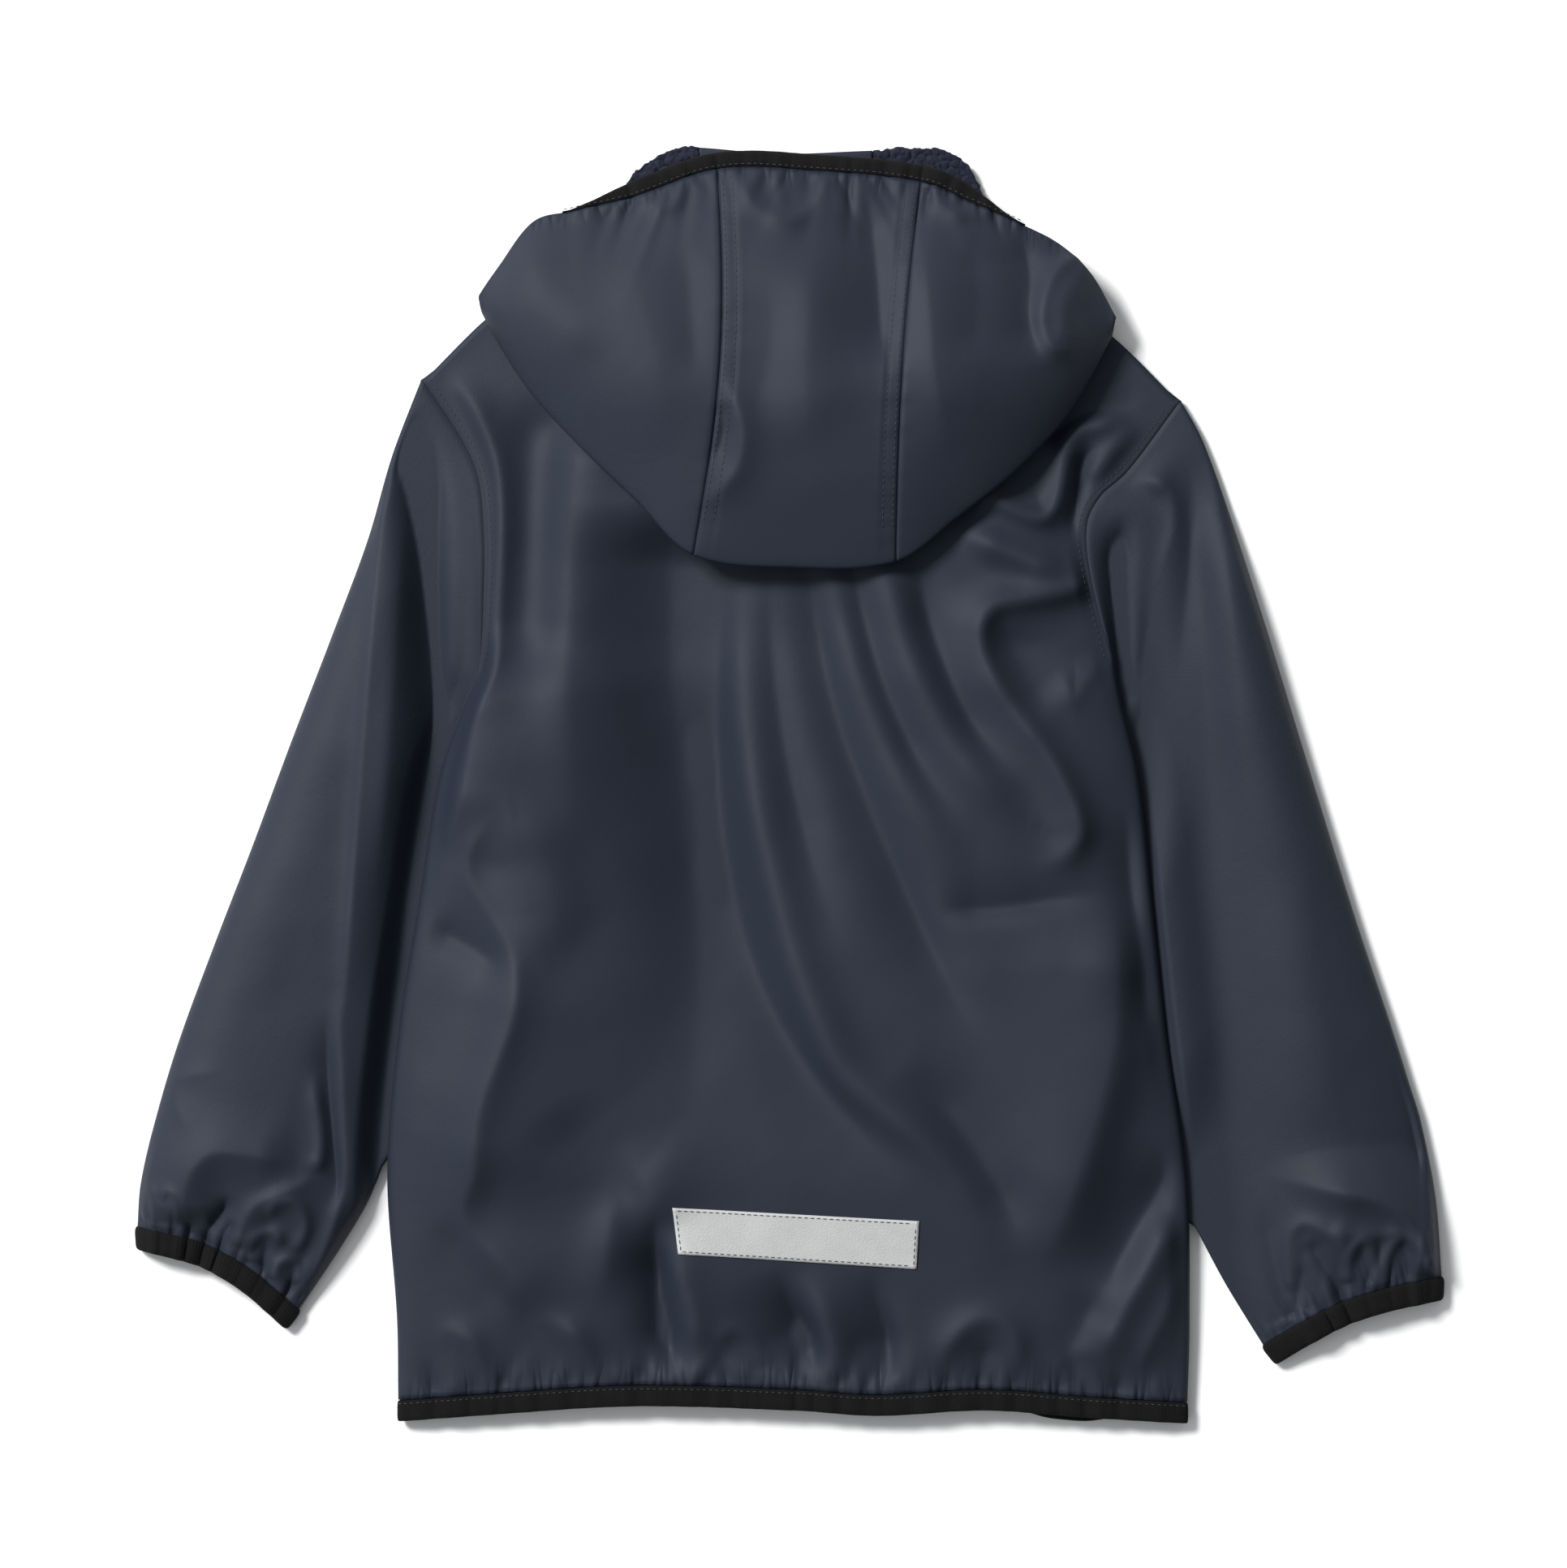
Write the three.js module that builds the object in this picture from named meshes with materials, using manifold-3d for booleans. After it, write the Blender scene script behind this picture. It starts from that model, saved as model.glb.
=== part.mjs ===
// Hooded fleece-lined jacket, size 110, laid flat on its front with the hood folded back.
// Millimetres, +Z up. The ground is z = 0, the hood is toward +Y, the wearer's left arm is at -X.
import * as THREE from 'three';
import { mergeVertices } from 'three/addons/utils/BufferGeometryUtils.js';
import Module from 'manifold-3d';

// ---- driving sizes ----
const WALL = 2;                 // coated cloth with its fleece backing
const GAP = 0.3;                // between two pieces at a seam
const GROUND_LAYER = WALL / 2;  // middle of a panel that lies on the ground
const LAYER_STEP = WALL + GAP;  // middle to middle of two panels that lie on each other
const BINDING_WIDTH = 10;       // elastic binding, as it shows on one side
const BINDING_THICK = 3.2;      // binding with the cloth it wraps
const HOOD_BINDING_SHOWS = 8;
const FLEECE_THICK = 3;
const STRIP_THICK = 0.6;
const ZIP_X = -2;               // centre line of the front zip
const TAPE_WIDTH = 7.4;         // one zip tape, outside the front's edge
const TAPE_THICK = 1.6;
const SLIDER_LIFT = 4;          // the zip slider below holds the collar this far off the ground
const SLIDER_Y = 288;
// How the back's edge rounds off at the armhole seam, one row per step of its side fold.
const SEAM_ROUND = [{ out: 1, down: 0.35 }, { out: 1.7, down: 1.1 }];

// ---- material colours ----
const CLOTH = { color: 0x363c48, roughness: 0.48 };
const ELASTIC = { color: 0x1c1c1d, roughness: 0.9 };
const FLEECE = { color: 0x2b3048, roughness: 1 };
const REFLECTIVE = { color: 0xbec0c0, roughness: 0.45, metalness: 0.2 };
const TAPE = { color: 0x20242c, roughness: 0.85 };
const METAL = { color: 0x2a2c30, roughness: 0.4, metalness: 0.8 };

// ---- tables ----
// Body: `at` runs from the hem (0) up the side and the armhole to the shoulder tip (1).
// side = height of the side fold or armhole seam, crown = height of the back in the middle,
// round = 1 where the side is a full fold and 0 where it is an armhole seam.
const BODY = [
  { at: 0.00, leftX: -185.0, leftY: -290, rightX: 188.0, rightY: -292, side: 6.5, crown: 11.5, round: 1 },
  { at: 0.08, leftX: -185.5, leftY: -252, rightX: 189.0, rightY: -254, side: 7.5, crown: 17, round: 1 },
  { at: 0.22, leftX: -190.0, leftY: -184, rightX: 187.6, rightY: -188, side: 9.0, crown: 22, round: 1 },
  { at: 0.36, leftX: -184.5, leftY: -117, rightX: 178.0, rightY: -120, side: 11, crown: 25, round: 1 },
  { at: 0.50, leftX: -174.5, leftY: -54, rightX: 171.0, rightY: -57, side: 12, crown: 28, round: 1 },
  { at: 0.62, leftX: -165.0, leftY: 4, rightX: 164.5, rightY: 4, side: 12.5, crown: 29, round: 1 },
  { at: 0.68, leftX: -154.5, leftY: 34, rightX: 156.5, rightY: 38, side: 12.5, crown: 29, round: 1 },
  { at: 0.73, leftX: -146.0, leftY: 56, rightX: 151.0, rightY: 60, side: 13, crown: 28, round: 0 },
  { at: 0.80, leftX: -143.0, leftY: 98, rightX: 141.0, rightY: 98, side: 14, crown: 27, round: 0 },
  { at: 0.86, leftX: -143.5, leftY: 127, rightX: 139.0, rightY: 123, side: 13, crown: 26, round: 0 },
  { at: 0.91, leftX: -146.5, leftY: 148, rightX: 146.0, rightY: 138, side: 11, crown: 24, round: 0 },
  { at: 0.95, leftX: -155.0, leftY: 166, rightX: 160.0, rightY: 151, side: 8, crown: 21, round: 0 },
  { at: 1.00, leftX: -173.0, leftY: 193, rightX: 184.0, rightY: 183, side: 4.2, crown: 13, round: 0 },
];
const UNDERARM_AT = 0.73;

// The hem edge of the back and of the fronts, and the shoulder and neck edges.
const HEM = [
  { x: -185, y: -292 }, { x: -147, y: -289 }, { x: -75, y: -284.5 }, { x: 3, y: -286.5 },
  { x: 41, y: -289 }, { x: 93, y: -286.5 }, { x: 141, y: -290 }, { x: 188, y: -293 },
];
const BACK_TOP = [
  { x: -173, y: 193, z: 4.2 }, { x: -141, y: 224, z: 4.2 }, { x: -112, y: 241, z: 6.5 },
  { x: -72, y: 253, z: 13 }, { x: 0, y: 248, z: 18 }, { x: 72, y: 253, z: 13 },
  { x: 118, y: 238, z: 6.5 }, { x: 154, y: 212.5, z: 4.2 }, { x: 184, y: 183, z: 4.2 },
];
const FRONT_TOP = [
  { x: -173, y: 193 }, { x: -141, y: 224 }, { x: -112, y: 241 }, { x: -76, y: 250 }, { x: -10, y: 222 },
  { x: 6, y: 222 }, { x: 76, y: 250 }, { x: 118, y: 238 }, { x: 154, y: 212.5 }, { x: 184, y: 183 },
];

// Folds of the back: from x0, y0 to x1, y1 with a sideways bow; height is + for a ridge, - for a trough.
const BACK_FOLDS = [
  { x0: -132, y0: 175, x1: -155, y1: -70, bow: 17, width: 9, height: 4 },
  { x0: -126, y0: 120, x1: -138, y1: -20, bow: 6, width: 12, height: -5 },
  { x0: -160, y0: -70, x1: -132, y1: -120, bow: -4, width: 9, height: 3 },
  { x0: -82, y0: 110, x1: -128, y1: -190, bow: 26, width: 20, height: -6 },
  { x0: -46, y0: 105, x1: 72, y1: -235, bow: -22, width: 11, height: 4 },
  { x0: -22, y0: 100, x1: 12, y1: -85, bow: 0, width: 10, height: 2.5 },
  { x0: 12, y0: 96, x1: 86, y1: -60, bow: -12, width: 9, height: 5 },
  { x0: -2, y0: 60, x1: 66, y1: -70, bow: -8, width: 9, height: -4 },
  { x0: 48, y0: 96, x1: 132, y1: -20, bow: -8, width: 9, height: 5 },
  { x0: 88, y0: 72, x1: 138, y1: -10, bow: -10, width: 8, height: 5 },
  { x0: 152, y0: -10, x1: 138, y1: -190, bow: 10, width: 14, height: -5 },
  { x0: -10, y0: -84, x1: 64, y1: -205, bow: 4, width: 9, height: -4 },
  { x0: 62, y0: -82, x1: 108, y1: -150, bow: 0, width: 12, height: -4 },
  { x0: -150, y0: -90, x1: -140, y1: -160, bow: -8, width: 12, height: 4 },
];

// Sleeves: `at` runs from the armhole (0) to the cuff (1); outer and inner are the two folds.
const SLEEVE_LEFT = [
  { at: 0.00, outerX: -173.0, outerY: 193, innerX: -147.5, innerY: 51, edge: 4.2, crown: 12 },
  { at: 0.08, outerX: -187.0, outerY: 157, innerX: -158.5, innerY: 28, edge: 4.6, crown: 18 },
  { at: 0.18, outerX: -199.0, outerY: 117, innerX: -167.5, innerY: -5, edge: 5, crown: 22 },
  { at: 0.30, outerX: -216.0, outerY: 72, innerX: -173.0, innerY: -38, edge: 5, crown: 23 },
  { at: 0.42, outerX: -236.0, outerY: 20, innerX: -179.5, innerY: -70, edge: 5, crown: 23 },
  { at: 0.54, outerX: -255.0, outerY: -31, innerX: -185.5, innerY: -102, edge: 5, crown: 23 },
  { at: 0.66, outerX: -272.0, outerY: -75, innerX: -191.0, innerY: -133, edge: 5, crown: 22 },
  { at: 0.78, outerX: -290.0, outerY: -124, innerX: -193.5, innerY: -165, edge: 5, crown: 21 },
  { at: 0.88, outerX: -302.0, outerY: -165, innerX: -200.0, innerY: -195, edge: 5, crown: 20 },
  { at: 0.94, outerX: -307.5, outerY: -190, innerX: -214.0, innerY: -219, edge: 5, crown: 17 },
  { at: 1.00, outerX: -309.0, outerY: -210, innerX: -234.0, innerY: -249, edge: 4.6, crown: 11.5 },
];
const SLEEVE_RIGHT = [
  { at: 0.00, outerX: 184.0, outerY: 183, innerX: 151.5, innerY: 60, edge: 4.2, crown: 12 },
  { at: 0.08, outerX: 195.0, outerY: 163, innerX: 163.5, innerY: 25, edge: 4.6, crown: 18 },
  { at: 0.18, outerX: 209.0, outerY: 125, innerX: 170.5, innerY: -12, edge: 5, crown: 22 },
  { at: 0.30, outerX: 225.0, outerY: 76, innerX: 174.5, innerY: -48, edge: 5, crown: 23 },
  { at: 0.42, outerX: 240.0, outerY: 27, innerX: 177.5, innerY: -85, edge: 5, crown: 23 },
  { at: 0.54, outerX: 255.0, outerY: -22, innerX: 181.5, innerY: -118, edge: 5, crown: 23 },
  { at: 0.66, outerX: 269.0, outerY: -67, innerX: 187.5, innerY: -150, edge: 5, crown: 22 },
  { at: 0.78, outerX: 285.0, outerY: -115, innerX: 191.5, innerY: -182, edge: 5, crown: 21 },
  { at: 0.88, outerX: 299.0, outerY: -160, innerX: 196.0, innerY: -212, edge: 5, crown: 20 },
  { at: 0.94, outerX: 306.0, outerY: -196, innerX: 208.0, innerY: -238, edge: 5, crown: 17 },
  { at: 1.00, outerX: 309.0, outerY: -234, innerX: 226.0, innerY: -266, edge: 4.6, crown: 11.5 },
];
// The cuff edge bows toward the shoulder by `cuffBow`.
// The ends of its binding lean by `outerLean` and `innerLean`.
const SLEEVE_SHAPE = {
  left: { side: -1, rows: SLEEVE_LEFT, cuffBow: 8, outerLean: 0.06, innerLean: -0.45 },
  right: { side: 1, rows: SLEEVE_RIGHT, cuffBow: 6, outerLean: -0.04, innerLean: 0.55 },
};
// Folds of the sleeves, along them: `across` 0 is the outer fold and 1 the inner one.
const SLEEVE_FOLDS = {
  left: [
    { from: 0.05, to: 0.95, acrossFrom: 0.42, acrossTo: 0.66, width: 0.08, height: 4 },
    { from: 0.02, to: 0.70, acrossFrom: 0.62, acrossTo: 0.86, width: 0.09, height: -5 },
    { from: 0.80, to: 1.00, acrossFrom: 0.30, acrossTo: 0.36, width: 0.10, height: 3 },
  ],
  right: [
    { from: 0.05, to: 0.75, acrossFrom: 0.30, acrossTo: 0.40, width: 0.09, height: 4 },
    { from: 0.02, to: 0.70, acrossFrom: 0.66, acrossTo: 0.84, width: 0.09, height: -5 },
    { from: 0.72, to: 0.98, acrossFrom: 0.55, acrossTo: 0.30, width: 0.12, height: 3 },
  ],
};

// Hood: `at` runs from its left tip (0) to its right tip (1). top = edge of the face opening,
// fold = the edge where the hood turns under itself, neckX = where the row ends on the neck seam.
// rim, crown and fold are heights; bow moves the middle of a row sideways.
const HOOD = [
  { at: 0.00, topX: -147, topY: 231, foldX: -145, foldY: 224, neckX: -80, rim: 17, crown: 18, fold: 12, bow: 0 },
  { at: 0.07, topX: -137, topY: 245, foldX: -137, foldY: 209, neckX: -72, rim: 17, crown: 26, fold: 14, bow: 0 },
  { at: 0.15, topX: -121, topY: 264, foldX: -121, foldY: 185, neckX: -62, rim: 18, crown: 34, fold: 20, bow: 0 },
  { at: 0.22, topX: -103, topY: 267, foldX: -98, foldY: 160, neckX: -50, rim: 18.5, crown: 40, fold: 27, bow: 2 },
  { at: 0.31, topX: -73, topY: 278, foldX: -72, foldY: 135, neckX: -38, rim: 18.5, crown: 45, fold: 31, bow: 3 },
  { at: 0.41, topX: -34, topY: 291, foldX: -45, foldY: 109, neckX: -22, rim: 18.5, crown: 48, fold: 33, bow: 7 },
  { at: 0.54, topX: 14, topY: 290, foldX: 2, foldY: 103, neckX: 2, rim: 18.5, crown: 50, fold: 34, bow: 2 },
  { at: 0.67, topX: 62, topY: 285, foldX: 50, foldY: 106, neckX: 24, rim: 18.5, crown: 48, fold: 33, bow: -3 },
  { at: 0.76, topX: 86, topY: 275, foldX: 79, foldY: 127, neckX: 40, rim: 18.5, crown: 45, fold: 31, bow: 0 },
  { at: 0.84, topX: 108, topY: 262, foldX: 105, foldY: 148, neckX: 54, rim: 18.5, crown: 40, fold: 27, bow: 0 },
  { at: 0.91, topX: 128, topY: 255, foldX: 127, foldY: 171, neckX: 66, rim: 18, crown: 33, fold: 20, bow: 0 },
  { at: 0.96, topX: 143, topY: 240, foldX: 141, foldY: 192, neckX: 76, rim: 17, crown: 25, fold: 14, bow: 0 },
  { at: 1.00, topX: 154, topY: 221, foldX: 152, foldY: 213, neckX: 84, rim: 17, crown: 18, fold: 12, bow: 0 },
];
const HOOD_SEAMS = { left: 0.41, right: 0.67 };
const HOOD_BINDING_SPAN = { from: 0.205, to: 0.85 };
const HOOD_FOLDS = [
  { x0: -96, y0: 262, x1: -52, y1: 150, bow: 10, width: 12, height: 3 },
  { x0: 30, y0: 278, x1: 30, y1: 150, bow: 8, width: 12, height: -3 },
  { x0: -4, y0: 278, x1: -14, y1: 140, bow: -6, width: 12, height: 2.5 },
  { x0: 100, y0: 250, x1: 70, y1: 130, bow: 8, width: 14, height: 3 },
];

// Top edge of the pieces at the chin, which lie on the ground, and the span of what lies on them.
const COLLAR_TOP = [
  { x: -100, y: 262 }, { x: -80, y: 283 }, { x: -71, y: 293 }, { x: -53, y: 302.5 }, { x: -43, y: 302.5 },
  { x: -5, y: 299.5 }, { x: 39, y: 301 }, { x: 70, y: 302 }, { x: 84, y: 295 }, { x: 90, y: 284 },
  { x: 100, y: 260 },
];
const LINING_LEFT = { from: -92, to: -43.5 };
const LINING_RIGHT = { from: 39.8, to: 92 };
const LINING_BOTTOM = 244;
const CHIN_GUARD = { from: -43, to: 39.3, bottom: 262 };
const GUARD_LIFT = 1.2;         // clears the slider's upper plate
const HEM_MIDDLE = -285.5;      // where the zip starts
// Corners of the reflective strip: top edge and bottom edge at its two ends.
const STRIP = [
  { across: 0, topX: -55.4, topY: -199.8, bottomX: -52.7, bottomY: -221.8 },
  { across: 1, topX: 61.2, topY: -206.2, bottomX: 60, bottomY: -229 },
];

// ---- mesh fineness ----
const BACK_COLUMNS = 25;
const FOLD_STEPS = SEAM_ROUND.length;   // steps around a rounded fold
const SIDE_ROWS = 13;        // rows below the underarm
const ARM_STEPS = 8;         // steps along the armhole, shared by back, fronts and sleeves
const SLEEVE_ROWS = 14;
const FRONT_COLUMNS = [0, 0.3, 0.61, 1];   // from the side to the zip; the third is the corner of the neck
const HOOD_COLUMNS = { left: 7, centre: 6, right: 6 };
const HOOD_TOP_ROWS = [0, 0.12, 0.25, 0.38, 0.5, 0.62, 0.74, 0.84, 0.92, 0.97];
const HOOD_UNDER_STEPS = 5;

// ---- small maths ----
const { lerp, clamp, smoothstep } = THREE.MathUtils;
const range = (count, make) => Array.from({ length: count }, (_, i) => make(i));
const spread = (count, from, to) => range(count + 1, i => lerp(from, to, i / count));
const V = (x, y, z = 0) => new THREE.Vector3(x, y, z);
const UP = V(0, 0, 1);

/** Smooth value of the column `name` where the column `key`, which rises, is `at`. */
function column(rows, key, at, name) {
  const last = rows.length - 1;
  const x = clamp(at, rows[0][key], rows[last][key]);
  let i = 0;
  while (i < last - 1 && x > rows[i + 1][key]) i += 1;
  const slope = (a, b) => (rows[b][name] - rows[a][name]) / (rows[b][key] - rows[a][key]);
  const tangent = k => ((k === 0 || k === last) ? slope(i, i + 1) : slope(k - 1, k + 1));
  const span = rows[i + 1][key] - rows[i][key];
  const u = (x - rows[i][key]) / span;
  const start = u * u * (2 * u - 3) + 1;
  const startSlope = u * (u - 1) * (u - 1);
  const endSlope = u * u * (u - 1);
  return rows[i][name] * start + tangent(i) * span * startSlope
    + rows[i + 1][name] * (1 - start) + tangent(i + 1) * span * endSlope;
}

/** All columns of a table at one place. */
function rowAt(rows, key, at) {
  return Object.fromEntries(Object.keys(rows[0]).map(name => [name, column(rows, key, at, name)]));
}

/** Fades in and out at the two ends of 0..1. */
const endFade = (u, length = 0.22) => smoothstep(u, 0, length) * smoothstep(1 - u, 0, length);

/** Height that a table of folds adds at x, y. */
function foldHeight(folds, x, y) {
  let height = 0;
  for (const fold of folds) {
    const run = V(fold.x1 - fold.x0, fold.y1 - fold.y0);
    const length = run.length();
    const offset = V(x - fold.x0, y - fold.y0);
    const u = offset.dot(run) / (length * length);
    if (u <= 0 || u >= 1) continue;
    const sideways = (run.x * offset.y - run.y * offset.x) / length - fold.bow * 4 * u * (1 - u);
    height += fold.height * endFade(u) * Math.exp(-((sideways / fold.width) ** 2));
  }
  return height;
}

// ---- thin walls from a grid of points ----

/** Unit normals of a grid of points, from the neighbours; `closed` joins the ends of each row. */
function gridNormals(grid, closed) {
  const rows = grid.length;
  const columns = grid[0].length;
  return grid.map((row, j) => row.map((point, i) => {
    const left = closed ? row[(i + columns - 1) % columns] : row[Math.max(i - 1, 0)];
    const right = closed ? row[(i + 1) % columns] : row[Math.min(i + 1, columns - 1)];
    const below = grid[Math.max(j - 1, 0)][i];
    const above = grid[Math.min(j + 1, rows - 1)][i];
    return right.clone().sub(left).cross(above.clone().sub(below)).normalize();
  }));
}

/** Closed wall of the given thickness whose middle is the grid. */
function wallGeometry(grid, thickness, { closed = false, normals = gridNormals(grid, closed) } = {}) {
  const rows = grid.length;
  const columns = grid[0].length;
  const side = sign => grid.flatMap((row, j) => row.map(
    (point, i) => point.clone().addScaledVector(normals[j][i], sign * thickness / 2)));
  const points = [...side(1), ...side(-1)];
  const outer = (j, i) => j * columns + (i % columns);
  const inner = (j, i) => rows * columns + outer(j, i);
  const faces = [];
  const quad = (a, b, c, d) => faces.push(a, b, c, a, c, d);
  const cells = closed ? columns : columns - 1;
  for (let j = 0; j < rows - 1; j += 1) {
    for (let i = 0; i < cells; i += 1) {
      quad(outer(j, i), outer(j, i + 1), outer(j + 1, i + 1), outer(j + 1, i));
      quad(inner(j, i), inner(j + 1, i), inner(j + 1, i + 1), inner(j, i + 1));
    }
    if (!closed) {
      quad(outer(j, 0), outer(j + 1, 0), inner(j + 1, 0), inner(j, 0));
      quad(outer(j, cells), inner(j, cells), inner(j + 1, cells), outer(j + 1, cells));
    }
  }
  for (let i = 0; i < cells; i += 1) {
    quad(outer(0, i), inner(0, i), inner(0, i + 1), outer(0, i + 1));
    quad(outer(rows - 1, i), outer(rows - 1, i + 1), inner(rows - 1, i + 1), inner(rows - 1, i));
  }
  const geometry = new THREE.BufferGeometry();
  geometry.setAttribute('position', new THREE.Float32BufferAttribute(points.flatMap(p => p.toArray()), 3));
  geometry.setIndex(faces);
  return facingOut(geometry);
}

/** Turns the faces over if they point inward. */
function facingOut(geometry) {
  const position = geometry.getAttribute('position');
  const index = geometry.getIndex();
  const corner = k => V(0, 0).fromBufferAttribute(position, index.getX(k));
  let volume = 0;
  for (let k = 0; k < index.count; k += 3) {
    volume += corner(k).dot(corner(k + 1).cross(corner(k + 2)));
  }
  if (volume < 0) {
    for (let k = 0; k < index.count; k += 3) {
      const second = index.getX(k + 1);
      index.setX(k + 1, index.getX(k + 2));
      index.setX(k + 2, second);
    }
  }
  return geometry;
}

const jacket = new THREE.Group();

function addPiece(name, geometry, look) {
  const mesh = new THREE.Mesh(geometry, new THREE.MeshStandardMaterial(look));
  mesh.name = name;
  jacket.add(mesh);
  return mesh;
}

// ---- body ----

const bodyEdge = (side, at) => {
  const row = rowAt(BODY, 'at', at);
  return side < 0 ? V(row.leftX, row.leftY, row.side) : V(row.rightX, row.rightY, row.side);
};

/** The row of plan positions at one height of the body, bent to the hem and to the given top edge. */
function bodyPlan(across, at, topRows) {
  const left = bodyEdge(-1, at);
  const right = bodyEdge(1, at);
  const x = lerp(left.x, right.x, across);
  const hemY = column(HEM, 'x', x, 'y') - lerp(BODY[0].leftY, BODY[0].rightY, across);
  const tips = BODY[BODY.length - 1];
  const topX = lerp(tips.leftX, tips.rightX, across);
  const topY = column(topRows, 'x', topX, 'y') - lerp(tips.leftY, tips.rightY, across);
  return V(x, lerp(left.y, right.y, across) + hemY * (1 - at) ** 6 + topY * at ** 5);
}

/** Middle of the back's wall. */
function backPoint(across, at) {
  const row = rowAt(BODY, 'at', at);
  const point = bodyPlan(across, at, BACK_TOP);
  const full = Math.sqrt(1 - Math.abs(2 * across - 1) ** 3);
  const soft = Math.sin(Math.PI * across) ** 0.8;
  const dome = row.side + (row.crown - row.side) * lerp(soft, full, clamp(row.round, 0, 1));
  const topFade = at ** 6;
  const foldFade = endFade(across, 0.1) * smoothstep(at, 0, 0.06) * (1 - topFade);
  point.z = lerp(dome, column(BACK_TOP, 'x', point.x, 'z'), topFade)
    + foldFade * foldHeight(BACK_FOLDS, point.x, point.y);
  return point;
}

const bodyRows = [...spread(SIDE_ROWS, 0, UNDERARM_AT).slice(0, -1), ...spread(ARM_STEPS, UNDERARM_AT, 1)];

/** Radius of the side fold at one height; the back turns under by this much. */
const sideRadius = at => rowAt(BODY, 'at', at).side - GROUND_LAYER - LAYER_STEP - GAP / 3;

/** The back's side fold: points from the widest one down and under, or turned down at the armhole seam. */
function sideFold(side, at) {
  const row = rowAt(BODY, 'at', at);
  const edge = bodyEdge(side, at);
  edge.y = backPoint(side < 0 ? 0 : 1, at).y;
  const radius = sideRadius(at);
  const round = clamp(row.round, 0, 1);
  return range(FOLD_STEPS, k => {
    const angle = (k + 1) / FOLD_STEPS * Math.PI / 2;
    const underX = edge.x - side * radius * (1 - Math.cos(angle));
    const under = V(underX, edge.y, edge.z - radius * Math.sin(angle));
    const seam = V(edge.x + side * SEAM_ROUND[k].out, edge.y, edge.z - SEAM_ROUND[k].down);
    return seam.lerp(under, round);
  });
}

function backRow(at) {
  const main = spread(BACK_COLUMNS, 0, 1).map(across => backPoint(across, at));
  return [...sideFold(-1, at).reverse(), ...main, ...sideFold(1, at)];
}

const backGrid = bodyRows.map(backRow);
addPiece('back', wallGeometry(backGrid, WALL), CLOTH);

/** Point of the armhole seam, moved off the body by `off`. */
function armholePoint(side, step, off) {
  const at = k => lerp(UNDERARM_AT, 1, clamp(k, 0, ARM_STEPS) / ARM_STEPS);
  const here = bodyEdge(side, at(step)).setY(sideFold(side, at(step))[0].y);
  const run = bodyEdge(side, at(step + 1)).sub(bodyEdge(side, at(step - 1))).setZ(0).normalize();
  return V(here.x + side * run.y * off, here.y - side * run.x * off, here.z);
}

// ---- fronts, which lie on the ground ----

const FRONT_UNDER = 1.5;   // the front reaches this far out past the back's turned-under edge
const frontCentre = side => ZIP_X + side * (TAPE_WIDTH + GAP);

function frontGrid(side) {
  return bodyRows.map(at => {
    const edges = { left: bodyEdge(-1, at).x, right: bodyEdge(1, at).x };
    const fold = sideFold(side, at);
    const underBulge = bodyEdge(side, at).x - side * Math.max(sideRadius(at) - FRONT_UNDER, 0);
    const outerX = lerp(fold[FOLD_STEPS - 1].x, underBulge, clamp(rowAt(BODY, 'at', at).round, 0, 1));
    return FRONT_COLUMNS.map(step => {
      const x = lerp(outerX, frontCentre(side), step);
      const across = clamp((x - edges.left) / (edges.right - edges.left), 0, 1);
      return bodyPlan(across, at, FRONT_TOP).setX(x).setZ(GROUND_LAYER);
    });
  });
}

const allUp = grid => grid.map(row => row.map(() => UP));
const fronts = { left: frontGrid(-1), right: frontGrid(1) };
for (const [name, grid] of Object.entries(fronts)) {
  addPiece(`front_${name}`, wallGeometry(grid, WALL, { normals: allUp(grid) }), CLOTH);
}

// ---- sleeves ----

function bodyEdgeX(side, y) {
  const name = side < 0 ? 'left' : 'right';
  return column(BODY, `${name}Y`, y, `${name}X`);
}

const SLEEVE_CLEARANCE = WALL + 4 * GAP;   // middle of the sleeve's inner fold to middle of the body's side
const ARMHOLE_GAP = SEAM_ROUND[0].out + SEAM_ROUND[1].out + GAP / 2;
const UNDERARM_EASE = 2.4;                 // the sleeve's lowest point stands off the body's fold

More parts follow.
